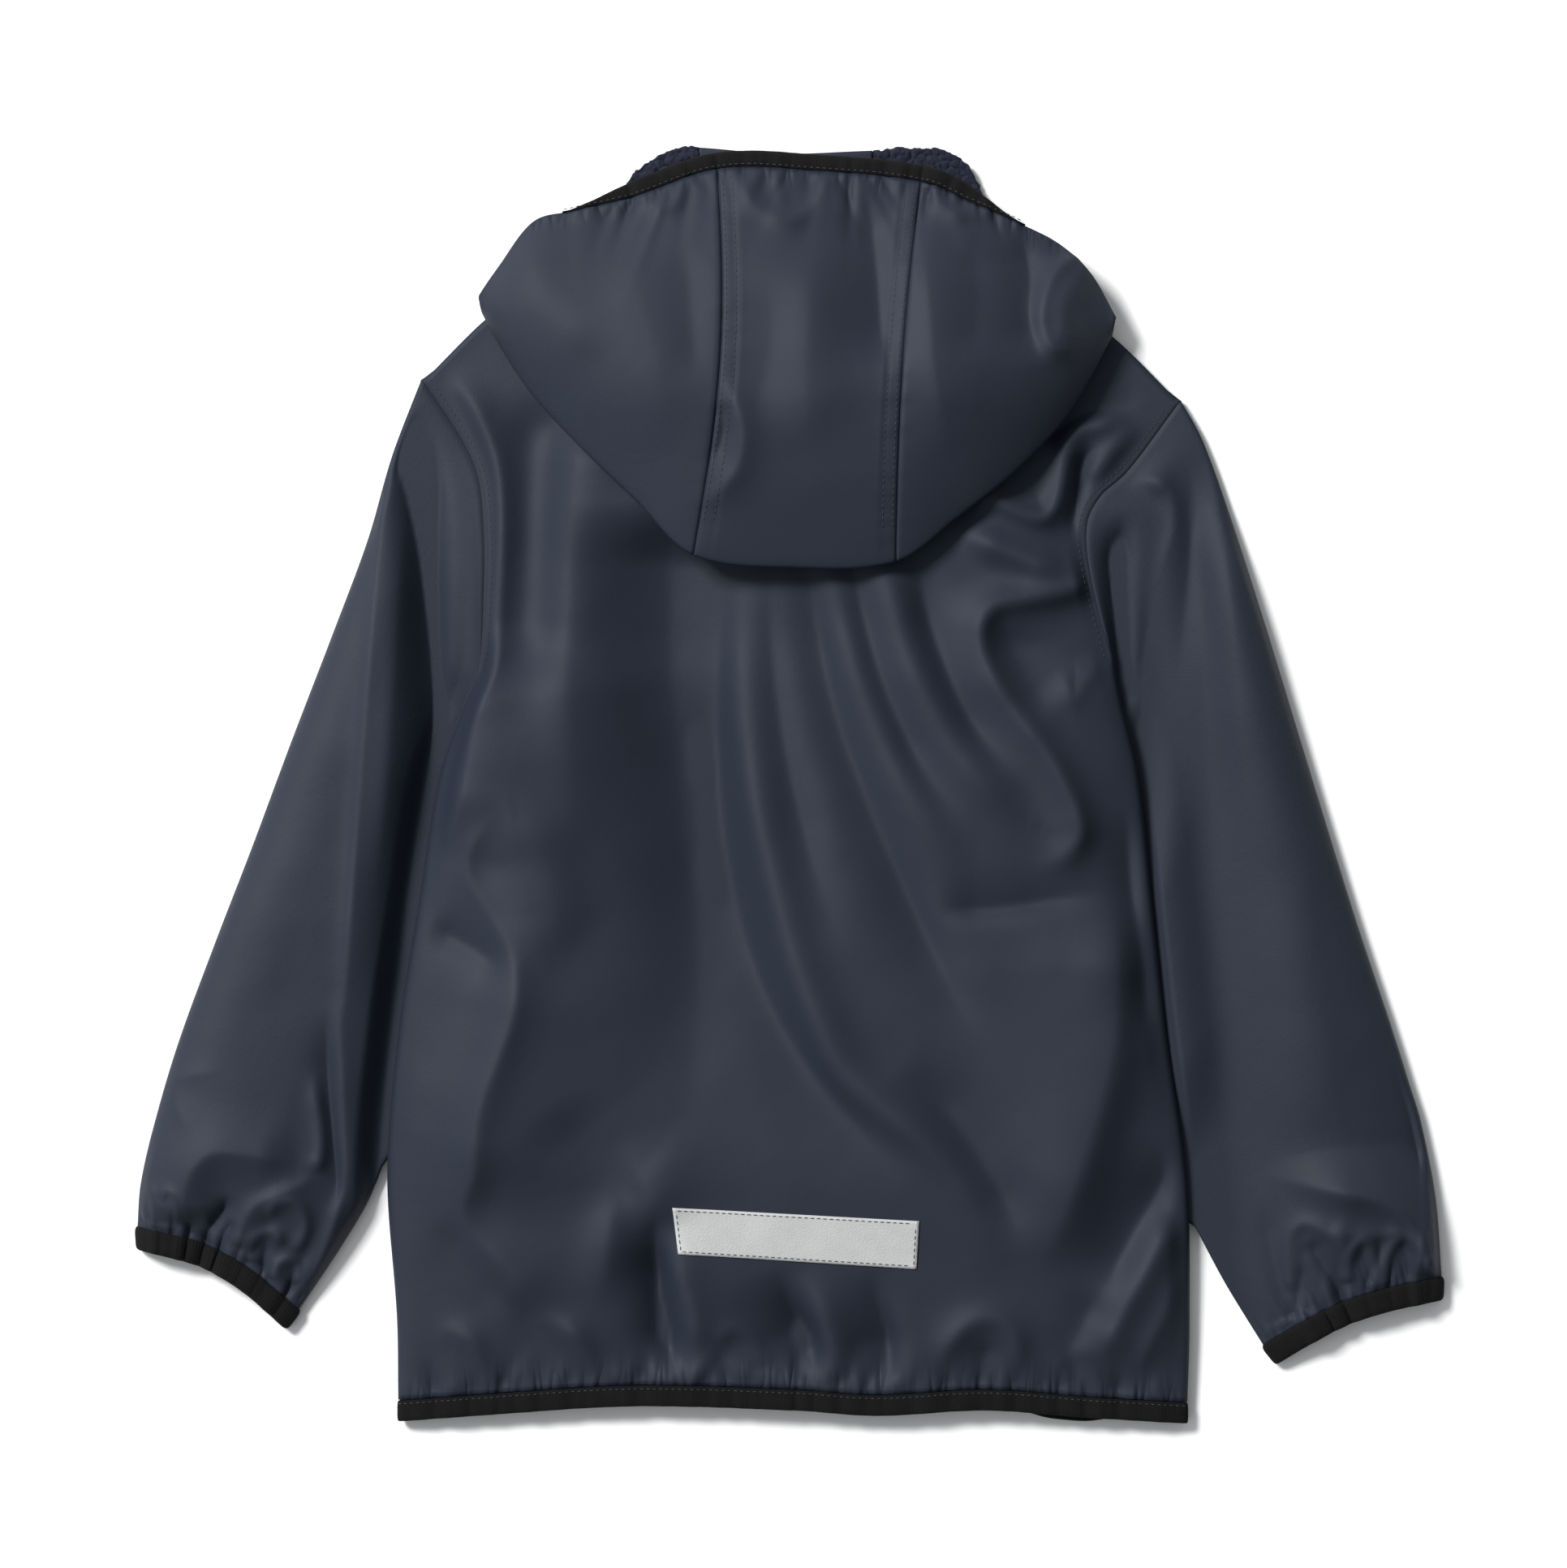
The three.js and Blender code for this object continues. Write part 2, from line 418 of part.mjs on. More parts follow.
/** Middle of a sleeve's upper layer; `across` is 0 at the outer fold and 1 at the inner one. */
function sleevePoint({ side, rows, cuffBow }, folds, at, across) {
  const row = rowAt(rows, 'at', at);
  const outer = V(row.outerX, row.outerY);
  const inner = V(row.innerX, row.innerY);
  const point = outer.clone().lerp(inner, across);
  const start = V(rows[0].outerX, rows[0].outerY).lerp(V(rows[0].innerX, rows[0].innerY), across);
  const seam = armholePoint(side, ARM_STEPS * (1 - across), ARMHOLE_GAP + UNDERARM_EASE * across ** 6);
  const nearArmhole = clamp(1 - at / 0.35, 0, 1) ** 2;
  const towardShoulder = outer.clone().sub(inner).normalize().applyAxisAngle(UP, side * Math.PI / 2);
  point.addScaledVector(seam.clone().sub(start), nearArmhole);
  point.addScaledVector(towardShoulder, cuffBow * Math.sin(Math.PI * across) * at ** 6);
  const clear = bodyEdgeX(side, point.y) + side * SLEEVE_CLEARANCE;
  if (at > 0 && side * (point.x - clear) < 0) point.x = clear;
  const dome = row.edge + (row.crown - row.edge) * Math.sqrt(1 - Math.abs(1 - 2 * across) ** 2.4);
  let crease = 0;
  for (const fold of folds) {
    const u = (at - fold.from) / (fold.to - fold.from);
    if (u <= 0 || u >= 1) continue;
    const offset = (across - lerp(fold.acrossFrom, fold.acrossTo, u)) / fold.width;
    crease += fold.height * endFade(u) * Math.exp(-(offset ** 2));
  }
  point.z = lerp(dome + crease * endFade(across, 0.15), seam.z, nearArmhole);
  return point;
}

/** Points of a quarter turn from a fold's widest point down to `bottom`, inward toward `next`. */
function turnUnder(edge, next, bottom) {
  const radius = edge.z - bottom;
  const inward = next.clone().sub(edge).setZ(0).normalize();
  return range(FOLD_STEPS, k => {
    const angle = (k + 1) / FOLD_STEPS * Math.PI / 2;
    const point = edge.clone().addScaledVector(inward, radius * (1 - Math.cos(angle)));
    return point.setZ(edge.z - radius * Math.sin(angle));
  });
}

/** One row of a sleeve: its upper layer with the two turned-under folds, and its layer on the ground. */
function sleeveRow(shape, folds, at) {
  const upper = spread(ARM_STEPS, 0, 1).map(across => sleevePoint(shape, folds, at, across));
  const outerTurn = turnUnder(upper[0], upper[1], GROUND_LAYER);
  const innerTurn = turnUnder(upper[ARM_STEPS], upper[ARM_STEPS - 1], GROUND_LAYER);
  const flat = upper.slice(1, -1).map(point => point.clone().setZ(GROUND_LAYER));
  const seam = (end, next) => end.clone().addScaledVector(next.clone().sub(end).normalize(), GAP * 1.5);
  const outerSeam = seam(outerTurn[FOLD_STEPS - 1], flat[0]);
  const innerSeam = seam(innerTurn[FOLD_STEPS - 1], flat[flat.length - 1]);
  return {
    over: [...outerTurn.reverse(), ...upper, ...innerTurn],
    under: [outerSeam, ...flat, innerSeam],
    ring: [...upper, ...innerTurn, ...flat.reverse(), ...outerTurn],
  };
}

/** Lifts a ring so that a wall of the given thickness clears the ground. */
const clearOfGround = (ring, thickness) => ring.map(p => p.clone().setZ(Math.max(p.z, thickness / 2)));

for (const [name, shape] of Object.entries(SLEEVE_SHAPE)) {
  const rows = spread(SLEEVE_ROWS, 0, 1).map(step => sleeveRow(shape, SLEEVE_FOLDS[name], step ** 1.4));
  const over = rows.map(row => row.over);
  const under = rows.map(row => row.under);
  const normals = gridNormals(over, false);
  normals[0] = normals[0].map((normal, i) => (i > FOLD_STEPS && i < FOLD_STEPS + ARM_STEPS ? UP : normal));
  for (const row of normals) {
    for (const end of [row[0], row[row.length - 1]]) end.set(0, 0, Math.sign(end.z));
  }
  addPiece(`sleeve_${name}`, wallGeometry(over, WALL, { normals }), CLOTH);
  addPiece(`under_sleeve_${name}`, wallGeometry(under, WALL, { normals: allUp(under) }), CLOTH);

  const edge = rows[SLEEVE_ROWS].ring;
  const outer = edge[0];
  const inner = edge[ARM_STEPS];
  const width = outer.distanceTo(inner);
  const moved = distance => clearOfGround(edge.map(point => {
    const lean = lerp(shape.outerLean, shape.innerLean, clamp(point.distanceTo(outer) / width, 0, 1));
    return point.clone().addScaledVector(V(lean, -1).normalize(), distance);
  }), BINDING_THICK);
  const band = spread(2, GAP * 1.5, BINDING_WIDTH + GAP).map(moved);
  addPiece(`cuff_binding_${name}`, wallGeometry(band, BINDING_THICK, { closed: true }), ELASTIC);
}

// ---- hem binding: one elastic ring around the back and both fronts ----

const hemUpper = backGrid[0].slice(FOLD_STEPS, -FOLD_STEPS);
const hemLower = [...fronts.right[0].slice(1), ...fronts.left[0].slice(1).reverse()];
const hemRight = turnUnder(hemUpper[BACK_COLUMNS], hemUpper[BACK_COLUMNS - 1], BINDING_THICK / 2);
const hemLeft = turnUnder(hemUpper[0], hemUpper[1], BINDING_THICK / 2);
const hemEdge = [...hemUpper, ...hemRight, ...hemLower, ...hemLeft.reverse()];
const hemRows = spread(2, GAP * 1.5, BINDING_WIDTH + GAP)
  .map(distance => clearOfGround(hemEdge.map(point => point.clone().add(V(0, -distance))), BINDING_THICK));
addPiece('hem_binding', wallGeometry(hemRows, BINDING_THICK, { closed: true }), ELASTIC);

// ---- hood ----

/** Height of the middle of the back's wall at a place in plan. */
function backHeight(x, y) {
  let low = 0;
  let high = 1;
  const across = at => {
    const left = bodyEdge(-1, at).x;
    return clamp((x - left) / (bodyEdge(1, at).x - left), 0, 1);
  };
  for (let k = 0; k < 24; k += 1) {
    const middle = (low + high) / 2;
    if (backPoint(across(middle), middle).y < y) low = middle;
    else high = middle;
  }
  return backPoint(across(low), low).z;
}

const HOOD_TURN = 7;          // plan length of the rounded turn at the lower fold
const HOOD_UNDER_LIFT = 1;    // the hood's hidden layer lies loosely on the back

/** Middle of the hood's upper layer: `down` is 0 at the face opening and 1 at the lower fold. */
function hoodUpper(row, down) {
  const x = lerp(row.topX, row.foldX, down) + row.bow * Math.sin(Math.PI * down);
  const y = lerp(row.topY, row.foldY, down);
  const rise = Math.sin(Math.PI / 2 * Math.min(1, down / 0.6));
  const sag = 0.2 * row.crown * Math.max(0, (down - 0.6) / 0.4) ** 2;
  const surface = row.rim + (row.crown - row.rim) * rise - sag;
  const folds = foldHeight(HOOD_FOLDS, x, y);
  return V(x, y, row.fold + (surface + folds - row.fold) * Math.sqrt(1 - down ** 6));
}

/** Middle of the hood's hidden layer: `back` runs from the lower fold (0) to the neck seam (1). */
function hoodUnder(row, back) {
  const fold = V(row.foldX, row.foldY);
  const neck = V(row.neckX, column(BACK_TOP, 'x', row.neckX, 'y'));
  const point = fold.clone().lerp(neck, back);
  const turned = Math.min(1, back * fold.distanceTo(neck) / HOOD_TURN);
  const under = backHeight(point.x, point.y) + LAYER_STEP + HOOD_UNDER_LIFT;
  return point.setZ(under + (row.fold - under) * (1 - Math.sqrt(1 - (1 - turned) ** 2)));
}

function hoodColumn(at) {
  const row = rowAt(HOOD, 'at', at);
  const length = Math.hypot(row.foldX - row.neckX, row.foldY - column(BACK_TOP, 'x', row.neckX, 'y'));
  const turnEnd = HOOD_TURN / length;
  const under = [0, turnEnd * 0.3, ...spread(HOOD_UNDER_STEPS, turnEnd, 1)];
  return [...HOOD_TOP_ROWS.map(down => hoodUpper(row, down)), ...under.map(back => hoodUnder(row, back))];
}

const hoodSpans = {
  left: spread(HOOD_COLUMNS.left, 0, HOOD_SEAMS.left),
  centre: spread(HOOD_COLUMNS.centre, HOOD_SEAMS.left, HOOD_SEAMS.right),
  right: spread(HOOD_COLUMNS.right, HOOD_SEAMS.right, 1),
};
const hoodStations = [...hoodSpans.left, ...hoodSpans.centre.slice(1), ...hoodSpans.right.slice(1)];
const hoodGrid = hoodStations.map(hoodColumn);
const hoodNormals = gridNormals(hoodGrid, false);
for (const [name, span] of Object.entries(hoodSpans)) {
  const first = hoodStations.indexOf(span[0]);
  const last = first + span.length - 1;
  const points = hoodGrid.slice(first, last + 1).map(line => line.map(point => point.clone()));
  const drawIn = (line, next) => line.forEach((point, i) => {
    point.addScaledVector(next[i].clone().sub(point).normalize(), GAP * 0.6);
  });
  if (first > 0) drawIn(points[0], points[1]);
  if (last < hoodStations.length - 1) drawIn(points[points.length - 1], points[points.length - 2]);
  const normals = hoodNormals.slice(first, last + 1);
  addPiece(`hood_${name}`, wallGeometry(points, WALL, { normals }), CLOTH);
}

const HOOD_BINDING_CURL = 1.5;
const isBound = at => at > HOOD_BINDING_SPAN.from && at < HOOD_BINDING_SPAN.to;
const bound = hoodStations.flatMap((at, k) => (isBound(at) ? [k] : []));
const rim = bound.map(k => hoodGrid[k][0]);
const rimOut = rim.map((point, i) => {
  const run = rim[Math.min(i + 1, rim.length - 1)].clone().sub(rim[Math.max(i - 1, 0)]);
  return V(-run.y, run.x).normalize();
});
const bindingSteps = [
  { out: GAP * 2, drop: 0 },
  { out: HOOD_BINDING_SHOWS * 0.7, drop: 0 },
  { out: HOOD_BINDING_SHOWS, drop: HOOD_BINDING_CURL },
];
const hoodBinding = bindingSteps.map(({ out, drop }) => rim.map(
  (point, i) => point.clone().addScaledVector(rimOut[i], out).add(V(0, 0, -drop))));
const bindingNormals = hoodBinding.map(() => bound.map(k => hoodNormals[k][0]));
addPiece('hood_binding', wallGeometry(hoodBinding, BINDING_THICK, { normals: bindingNormals }), ELASTIC);

// ---- chin pieces, on the ground beyond the neck ----

const LIFT_START = 224;       // the chin pieces leave the ground at this y
const LIFT_FULL = 262;        // and are at the slider's height from this y on
const LIFT_NEAR = 20;         // the lift is full this far to each side of the zip
const LIFT_FAR = 95;          // and ends this far to each side

/** How far the zip slider holds the chin pieces off the ground. */
function chinLift(x, y) {
  const sideways = 1 - smoothstep(Math.abs(x - ZIP_X), LIFT_NEAR, LIFT_FAR);
  return SLIDER_LIFT * smoothstep(y, LIFT_START, LIFT_FULL) * sideways;
}

const collarTop = x => column(COLLAR_TOP, 'x', x, 'y');
const neckCorner = side => fronts[side < 0 ? 'left' : 'right'][bodyRows.length - 1][2];

/** Middle of a chin piece: `across` is 0 at its outer end and 1 at the zip, `up` is 0 at the neck seam. */
function collarPoint(side, across, up) {
  const corner = neckCorner(side);
  const zip = fronts[side < 0 ? 'left' : 'right'][bodyRows.length - 1][3];
  const seam = corner.clone().lerp(zip, across).add(V(0, GAP * 1.5));
  const outerX = side < 0 ? COLLAR_TOP[0].x : COLLAR_TOP[COLLAR_TOP.length - 1].x;
  const topX = lerp(outerX, frontCentre(side), across);
  const point = seam.lerp(V(topX, collarTop(topX)), up);
  return point.setZ(GROUND_LAYER + chinLift(point.x, point.y));
}

/** A piece that lies on the chin pieces, from one x to another and up to their top edge. */
function onCollar(from, to, bottom, columns, rows, height) {
  return spread(rows, 0, 1).map(up => spread(columns, from, to).map(x => {
    const y = lerp(bottom, collarTop(x), up);
    return V(x, y, GROUND_LAYER + chinLift(x, y) + height);
  }));
}

for (const side of [-1, 1]) {
  const name = side < 0 ? 'left' : 'right';
  const grid = spread(6, 0, 1).map(up => spread(8, 0, 1).map(across => collarPoint(side, across, up)));
  addPiece(`collar_${name}`, wallGeometry(grid, WALL, { normals: allUp(grid) }), CLOTH);
}
const liningHeight = (WALL + FLEECE_THICK) / 2 + GAP * 3;
for (const [name, span] of Object.entries({ left: LINING_LEFT, right: LINING_RIGHT })) {
  const grid = onCollar(span.from, span.to, LINING_BOTTOM, 6, 5, liningHeight);
  addPiece(`lining_${name}`, wallGeometry(grid, FLEECE_THICK, { normals: allUp(grid) }), FLEECE);
}
const guardGrid = onCollar(CHIN_GUARD.from, CHIN_GUARD.to, CHIN_GUARD.bottom, 8, 3, LAYER_STEP + GUARD_LIFT);
addPiece('chin_guard', wallGeometry(guardGrid, WALL, { normals: allUp(guardGrid) }), CLOTH);

// ---- reflective strip, moved out from the back ----

const stripGrid = spread(3, 0, 1).map(up => spread(24, 0, 1).map(across => {
  const [a, b] = STRIP;
  const bottom = V(lerp(a.bottomX, b.bottomX, across), lerp(a.bottomY, b.bottomY, across));
  const top = V(lerp(a.topX, b.topX, across), lerp(a.topY, b.topY, across));
  const point = bottom.lerp(top, up);
  return point.setZ(backHeight(point.x, point.y) + (WALL + STRIP_THICK) / 2 + GAP * 2);
}));
addPiece('reflective_strip', wallGeometry(stripGrid, STRIP_THICK), REFLECTIVE);

// ---- front zip, under the chin and between the fronts ----

const TAPE_TOP = SLIDER_Y + 3;
// The tapes lie flat up to the start of the lift and rise to the slider beyond it.
const tapeParts = {
  zip_tape: spread(8, HEM_MIDDLE, LIFT_START - GAP),
  zip_end: spread(8, LIFT_START, TAPE_TOP),
};
for (const side of [-1, 1]) {
  for (const [name, stations] of Object.entries(tapeParts)) {
    const grid = stations.map(y => [GAP / 2, TAPE_WIDTH].map(out => {
      const x = ZIP_X + side * out;
      return V(x, y, TAPE_THICK / 2 + chinLift(x, y));
    }));
    const geometry = wallGeometry(grid, TAPE_THICK, { normals: allUp(grid) });
    addPiece(`${name}_${side < 0 ? 'left' : 'right'}`, geometry, TAPE);
  }
}

/** Slab with the given side outline (y, z), `width` wide and centred on the zip. */
function acrossZip(outline, width) {
  const shape = new THREE.Shape(outline.map(([y, z]) => new THREE.Vector2(y, z)));
  const geometry = new THREE.ExtrudeGeometry(shape, { depth: width, bevelEnabled: false });
  geometry.applyMatrix4(new THREE.Matrix4().makeBasis(V(0, 1, 0), V(0, 0, 1), V(1, 0, 0)));
  return geometry.translate(ZIP_X - width / 2, SLIDER_Y, 0);
}

const wasm = await Module();
wasm.setup();

function solid(geometry) {
  const bare = geometry.clone();
  bare.deleteAttribute('normal');
  bare.deleteAttribute('uv');
  const merged = mergeVertices(bare, 1e-4);
  const vertProperties = merged.getAttribute('position').array;
  const triVerts = new Uint32Array(merged.getIndex().array);
  return new wasm.Manifold(new wasm.Mesh({ numProp: 3, vertProperties, triVerts }));
}

function fromSolid(manifold) {
  const mesh = manifold.getMesh();
  const geometry = new THREE.BufferGeometry();
  geometry.setAttribute('position', new THREE.Float32BufferAttribute(mesh.vertProperties, 3));
  geometry.setIndex(Array.from(mesh.triVerts));
  return geometry;
}

// Side outlines, from the middle of the bridge: y along the zip, z up. The tapes run between the two plates.
const PLATE_BOTTOM = 2.6;
const PLATE_THICK = 1.1;
const UPPER_PLATE = TAPE_THICK + SLIDER_LIFT + GAP;
const PLATE_WIDTH = 8;
const PLATE_BACK = -5;       // the plates' ends along the zip, and the front of the block that joins them
const PLATE_FRONT = 6.5;
const PLATE_NECK = 3.6;
const plates = acrossZip([
  [PLATE_BACK, PLATE_BOTTOM],
  [PLATE_FRONT, PLATE_BOTTOM],
  [PLATE_FRONT, UPPER_PLATE + PLATE_THICK],
  [PLATE_BACK, UPPER_PLATE + PLATE_THICK],
  [PLATE_BACK, UPPER_PLATE],
  [PLATE_NECK, UPPER_PLATE],
  [PLATE_NECK, PLATE_BOTTOM + PLATE_THICK],
  [PLATE_BACK, PLATE_BOTTOM + PLATE_THICK],
], PLATE_WIDTH);
const BRIDGE_BOTTOM = 0.3;
const BRIDGE_BAR = 0.8;
const BRIDGE_HALF = 4;       // half of the bridge's length, outside and inside its loop
const BRIDGE_INSIDE = 3;
const BRIDGE_WIDTH = 1.6;
const BRIDGE_ROOT = PLATE_BOTTOM + 0.2;
const bridge = acrossZip([
  [-BRIDGE_HALF, BRIDGE_ROOT],
  [-BRIDGE_HALF, BRIDGE_BOTTOM],
  [BRIDGE_HALF, BRIDGE_BOTTOM],
  [BRIDGE_HALF, BRIDGE_ROOT],
  [BRIDGE_INSIDE, BRIDGE_ROOT],
  [BRIDGE_INSIDE, BRIDGE_BOTTOM + BRIDGE_BAR],
  [-BRIDGE_INSIDE, BRIDGE_BOTTOM + BRIDGE_BAR],
  [-BRIDGE_INSIDE, BRIDGE_ROOT],
], BRIDGE_WIDTH);
addPiece('zip_slider', fromSolid(solid(plates).add(solid(bridge))), METAL);

// The pull tab lies flat under the slider; its cross bar, which turns in the bridge, is at its origin.
const PULL_THICK = 0.9;
const PULL_LENGTH = 26;
const PULL_HALF_WIDTH = 2.7;
const pullShape = new THREE.Shape();
pullShape.moveTo(-PULL_HALF_WIDTH, PULL_THICK / 2);
pullShape.lineTo(-PULL_HALF_WIDTH, -PULL_LENGTH + PULL_HALF_WIDTH);
pullShape.absarc(0, -PULL_LENGTH + PULL_HALF_WIDTH, PULL_HALF_WIDTH, Math.PI, 2 * Math.PI, false);
pullShape.lineTo(PULL_HALF_WIDTH, PULL_THICK / 2);
const EYE_HALF_WIDTH = 1.2;
const EYE_END = -5.6;
const eye = new THREE.Path();
eye.moveTo(-EYE_HALF_WIDTH, -PULL_THICK / 2);
eye.lineTo(EYE_HALF_WIDTH, -PULL_THICK / 2);
eye.lineTo(EYE_HALF_WIDTH, EYE_END);
eye.lineTo(-EYE_HALF_WIDTH, EYE_END);
pullShape.holes.push(eye);
const pullLook = { depth: PULL_THICK, bevelEnabled: false, curveSegments: 8 };
const pullGeometry = new THREE.ExtrudeGeometry(pullShape, pullLook);
pullGeometry.translate(0, 0, -PULL_THICK / 2);
const pull = addPiece('zip_pull', pullGeometry, METAL);
pull.position.set(ZIP_X, SLIDER_Y, (BRIDGE_BOTTOM + BRIDGE_BAR + PLATE_BOTTOM) / 2);

export default jacket;
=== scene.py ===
"""Finish of a hooded fleece-lined jacket that lies on its front with the hood folded back.

Tables are in millimetres in the frame of the CAD model: +Z up, the hood toward +Y, the wearer's left
sleeve at -X, the floor at z = 0. Panels are laid out as grids of points and become thin walls.
"""
import math
from typing import NamedTuple

import bmesh
import bpy
import numpy as np
from bpy.props import FloatProperty, FloatVectorProperty, PointerProperty
from mathutils import Matrix, Vector, noise
from mathutils.bvhtree import BVHTree


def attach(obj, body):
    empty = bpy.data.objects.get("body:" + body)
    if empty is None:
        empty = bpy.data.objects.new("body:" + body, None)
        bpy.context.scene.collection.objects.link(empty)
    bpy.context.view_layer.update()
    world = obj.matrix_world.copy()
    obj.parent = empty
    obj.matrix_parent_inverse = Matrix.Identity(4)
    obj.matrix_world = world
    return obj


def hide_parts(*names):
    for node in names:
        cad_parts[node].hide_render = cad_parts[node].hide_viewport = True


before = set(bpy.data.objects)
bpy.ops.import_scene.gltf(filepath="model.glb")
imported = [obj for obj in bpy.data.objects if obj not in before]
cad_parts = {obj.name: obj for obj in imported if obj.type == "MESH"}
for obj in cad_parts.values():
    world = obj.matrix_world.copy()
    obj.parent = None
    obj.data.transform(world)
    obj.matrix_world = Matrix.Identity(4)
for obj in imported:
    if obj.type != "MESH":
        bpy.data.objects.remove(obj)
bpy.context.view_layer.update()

bl_info = {
    "name": "Laid-flat hooded jacket",
    "version": (1, 0, 0),
    "blender": (4, 5, 0),
    "location": "View3D > Sidebar > Jacket",
    "description": "Builds the cloth, bindings, seams and finishes of a hooded jacket on its CAD frame",
    "category": "Object",
}

MM = 0.001


def table(names, *rows):
    """Short table as a dict of columns."""
    return dict(zip(names.split(), np.array(rows, float).T))


# ---- outline tables, the same shapes as the CAD model's ----

# `at` runs from the hem (0) up the side and the armhole to the shoulder tip (1). side and crown are the
# heights of the side fold and of the middle; round is 1 on a full fold and 0 at the armhole seam.
BODY = table(
    "at left_x left_y right_x right_y side crown round",
    (0.00, -185.0, -290, 188.0, -292, 6.5, 11.5, 1),
    (0.08, -185.5, -252, 189.0, -254, 7.5, 17, 1),
    (0.22, -190.0, -184, 187.6, -188, 9.0, 22, 1),
    (0.36, -184.5, -117, 178.0, -120, 11, 25, 1),
    (0.50, -174.5, -54, 171.0, -57, 12, 28, 1),
    (0.62, -165.0, 4, 164.5, 4, 12.5, 29, 1),
    (0.68, -154.5, 34, 156.5, 38, 12.5, 29, 1),
    (0.73, -146.0, 56, 151.0, 60, 13, 28, 0),
    (0.80, -143.0, 98, 141.0, 98, 14, 27, 0),
    (0.86, -143.5, 127, 139.0, 123, 13, 26, 0),
    (0.91, -146.5, 148, 146.0, 138, 11, 24, 0),
    (0.95, -155.0, 166, 160.0, 151, 8, 21, 0),
    (1.00, -173.0, 193, 184.0, 183, 4.2, 13, 0),
)
UNDERARM_AT = 0.73
HEM = table(
    "x y", (-185, -292), (-147, -289), (-75, -284.5), (3, -286.5),
    (41, -289), (93, -286.5), (141, -290), (188, -293),
)
BACK_TOP = table(
    "x y z", (-173, 193, 4.2), (-141, 224, 4.2), (-112, 241, 6.5), (-72, 253, 13), (0, 248, 18),
    (72, 253, 13), (118, 238, 6.5), (154, 212.5, 4.2), (184, 183, 4.2),
)
FRONT_TOP = table(
    "x y", (-173, 193), (-141, 224), (-112, 241), (-76, 250), (-10, 222),
    (6, 222), (76, 250), (118, 238), (154, 212.5), (184, 183),
)

# `at` runs from the armhole (0) to the cuff (1), along the outer and the inner fold.
SLEEVE_LEFT = table(
    "at outer_x outer_y inner_x inner_y edge crown",
    (0.00, -173.0, 193, -147.5, 51, 4.2, 12),
    (0.08, -187.0, 157, -158.5, 28, 4.6, 18),
    (0.18, -199.0, 117, -167.5, -5, 5, 22),
    (0.30, -216.0, 72, -173.0, -38, 5, 23),
    (0.42, -236.0, 20, -178.0, -70, 5, 23),
    (0.54, -255.0, -31, -183.3, -102, 5, 23),
    (0.66, -272.0, -75, -187.0, -133, 5, 22),
    (0.78, -290.0, -124, -189.8, -165, 5, 21),
    (0.88, -302.0, -165, -200.0, -195, 5, 20),
    (0.94, -307.5, -190, -214.0, -219, 5, 17),
    (1.00, -309.0, -210, -234.0, -249, 4.6, 11.5),
)
SLEEVE_RIGHT = table(
    "at outer_x outer_y inner_x inner_y edge crown",
    (0.00, 184.0, 183, 151.5, 60, 4.2, 12),
    (0.08, 195.0, 163, 163.5, 25, 4.6, 18),
    (0.18, 209.0, 125, 167.6, -12, 5, 22),
    (0.30, 225.0, 76, 171.2, -48, 5, 23),
    (0.42, 240.0, 27, 175.0, -85, 5, 23),
    (0.54, 255.0, -22, 178.8, -118, 5, 23),
    (0.66, 269.0, -67, 183.4, -150, 5, 22),
    (0.78, 285.0, -115, 187.6, -182, 5, 21),
    (0.84, 293.5, -142, 189.2, -202, 5, 20.5),
    (0.88, 299.0, -160, 194.6, -212, 5, 20),
    (0.94, 306.0, -196, 208.6, -238, 5, 17),
    (1.00, 309.0, -234, 226.0, -266, 4.6, 11.5),
)

# `at` runs from the hood's left tip (0) to its right tip (1). top is the edge of the face opening, fold the
# edge where the hood turns under itself, neck_x where the row ends on the neck seam.
HOOD = table(
    "at top_x top_y fold_x fold_y neck_x rim crown fold bow",
    (0.00, -147, 231, -145, 224, -80, 17, 18, 12, 0),
    (0.07, -137, 245, -137, 209, -72, 17, 26, 14, 0),
    (0.15, -121, 266, -121, 185, -62, 18, 34, 20, 0),
    (0.22, -103, 271, -98, 160, -50, 18.5, 40, 27, 2),
    (0.31, -73, 278, -72, 135, -38, 18.5, 45, 31, 3),
    (0.41, -34, 291, -45, 109, -22, 18.5, 48, 33, 7),
    (0.54, 14, 290, 2, 103, 2, 18.5, 50, 34, 2),
    (0.67, 62, 285, 50, 106, 24, 18.5, 48, 33, -3),
    (0.76, 86, 275, 79, 127, 40, 18.5, 45, 31, 0),
    (0.84, 108, 265.5, 105, 148, 54, 18.5, 40, 27, 0),
    (0.91, 128, 255, 127, 171, 66, 18, 33, 20, 0),
    (0.96, 143, 240, 141, 192, 76, 17, 25, 14, 0),
    (1.00, 154, 221, 152, 213, 84, 17, 18, 12, 0),
)
HOOD_SEAMS = (0.41, 0.67)             # where the two seams are across the hood
HOOD_BINDING_SPAN = (0.205, 0.85)     # from where to where the binding shows
COLLAR_TOP = table(
    "x y", (-100, 262), (-80, 283), (-71, 293), (-53, 302.5), (-43, 302.5), (-5, 299.5),
    (39, 301), (70, 302), (84, 295), (90, 284), (100, 260),
)
LINING_SPANS = {"left": (-92, -43.5), "right": (39.8, 92)}
LINING_BOTTOM = 244
CHIN_GUARD = (-43, 39.3, 262)     # from x, to x, bottom y
STRIP = table(
    "across top_x top_y bottom_x bottom_y", (0, -55.4, -199.8, -52.7, -221.8), (1, 61.2, -206.2, 60, -229))

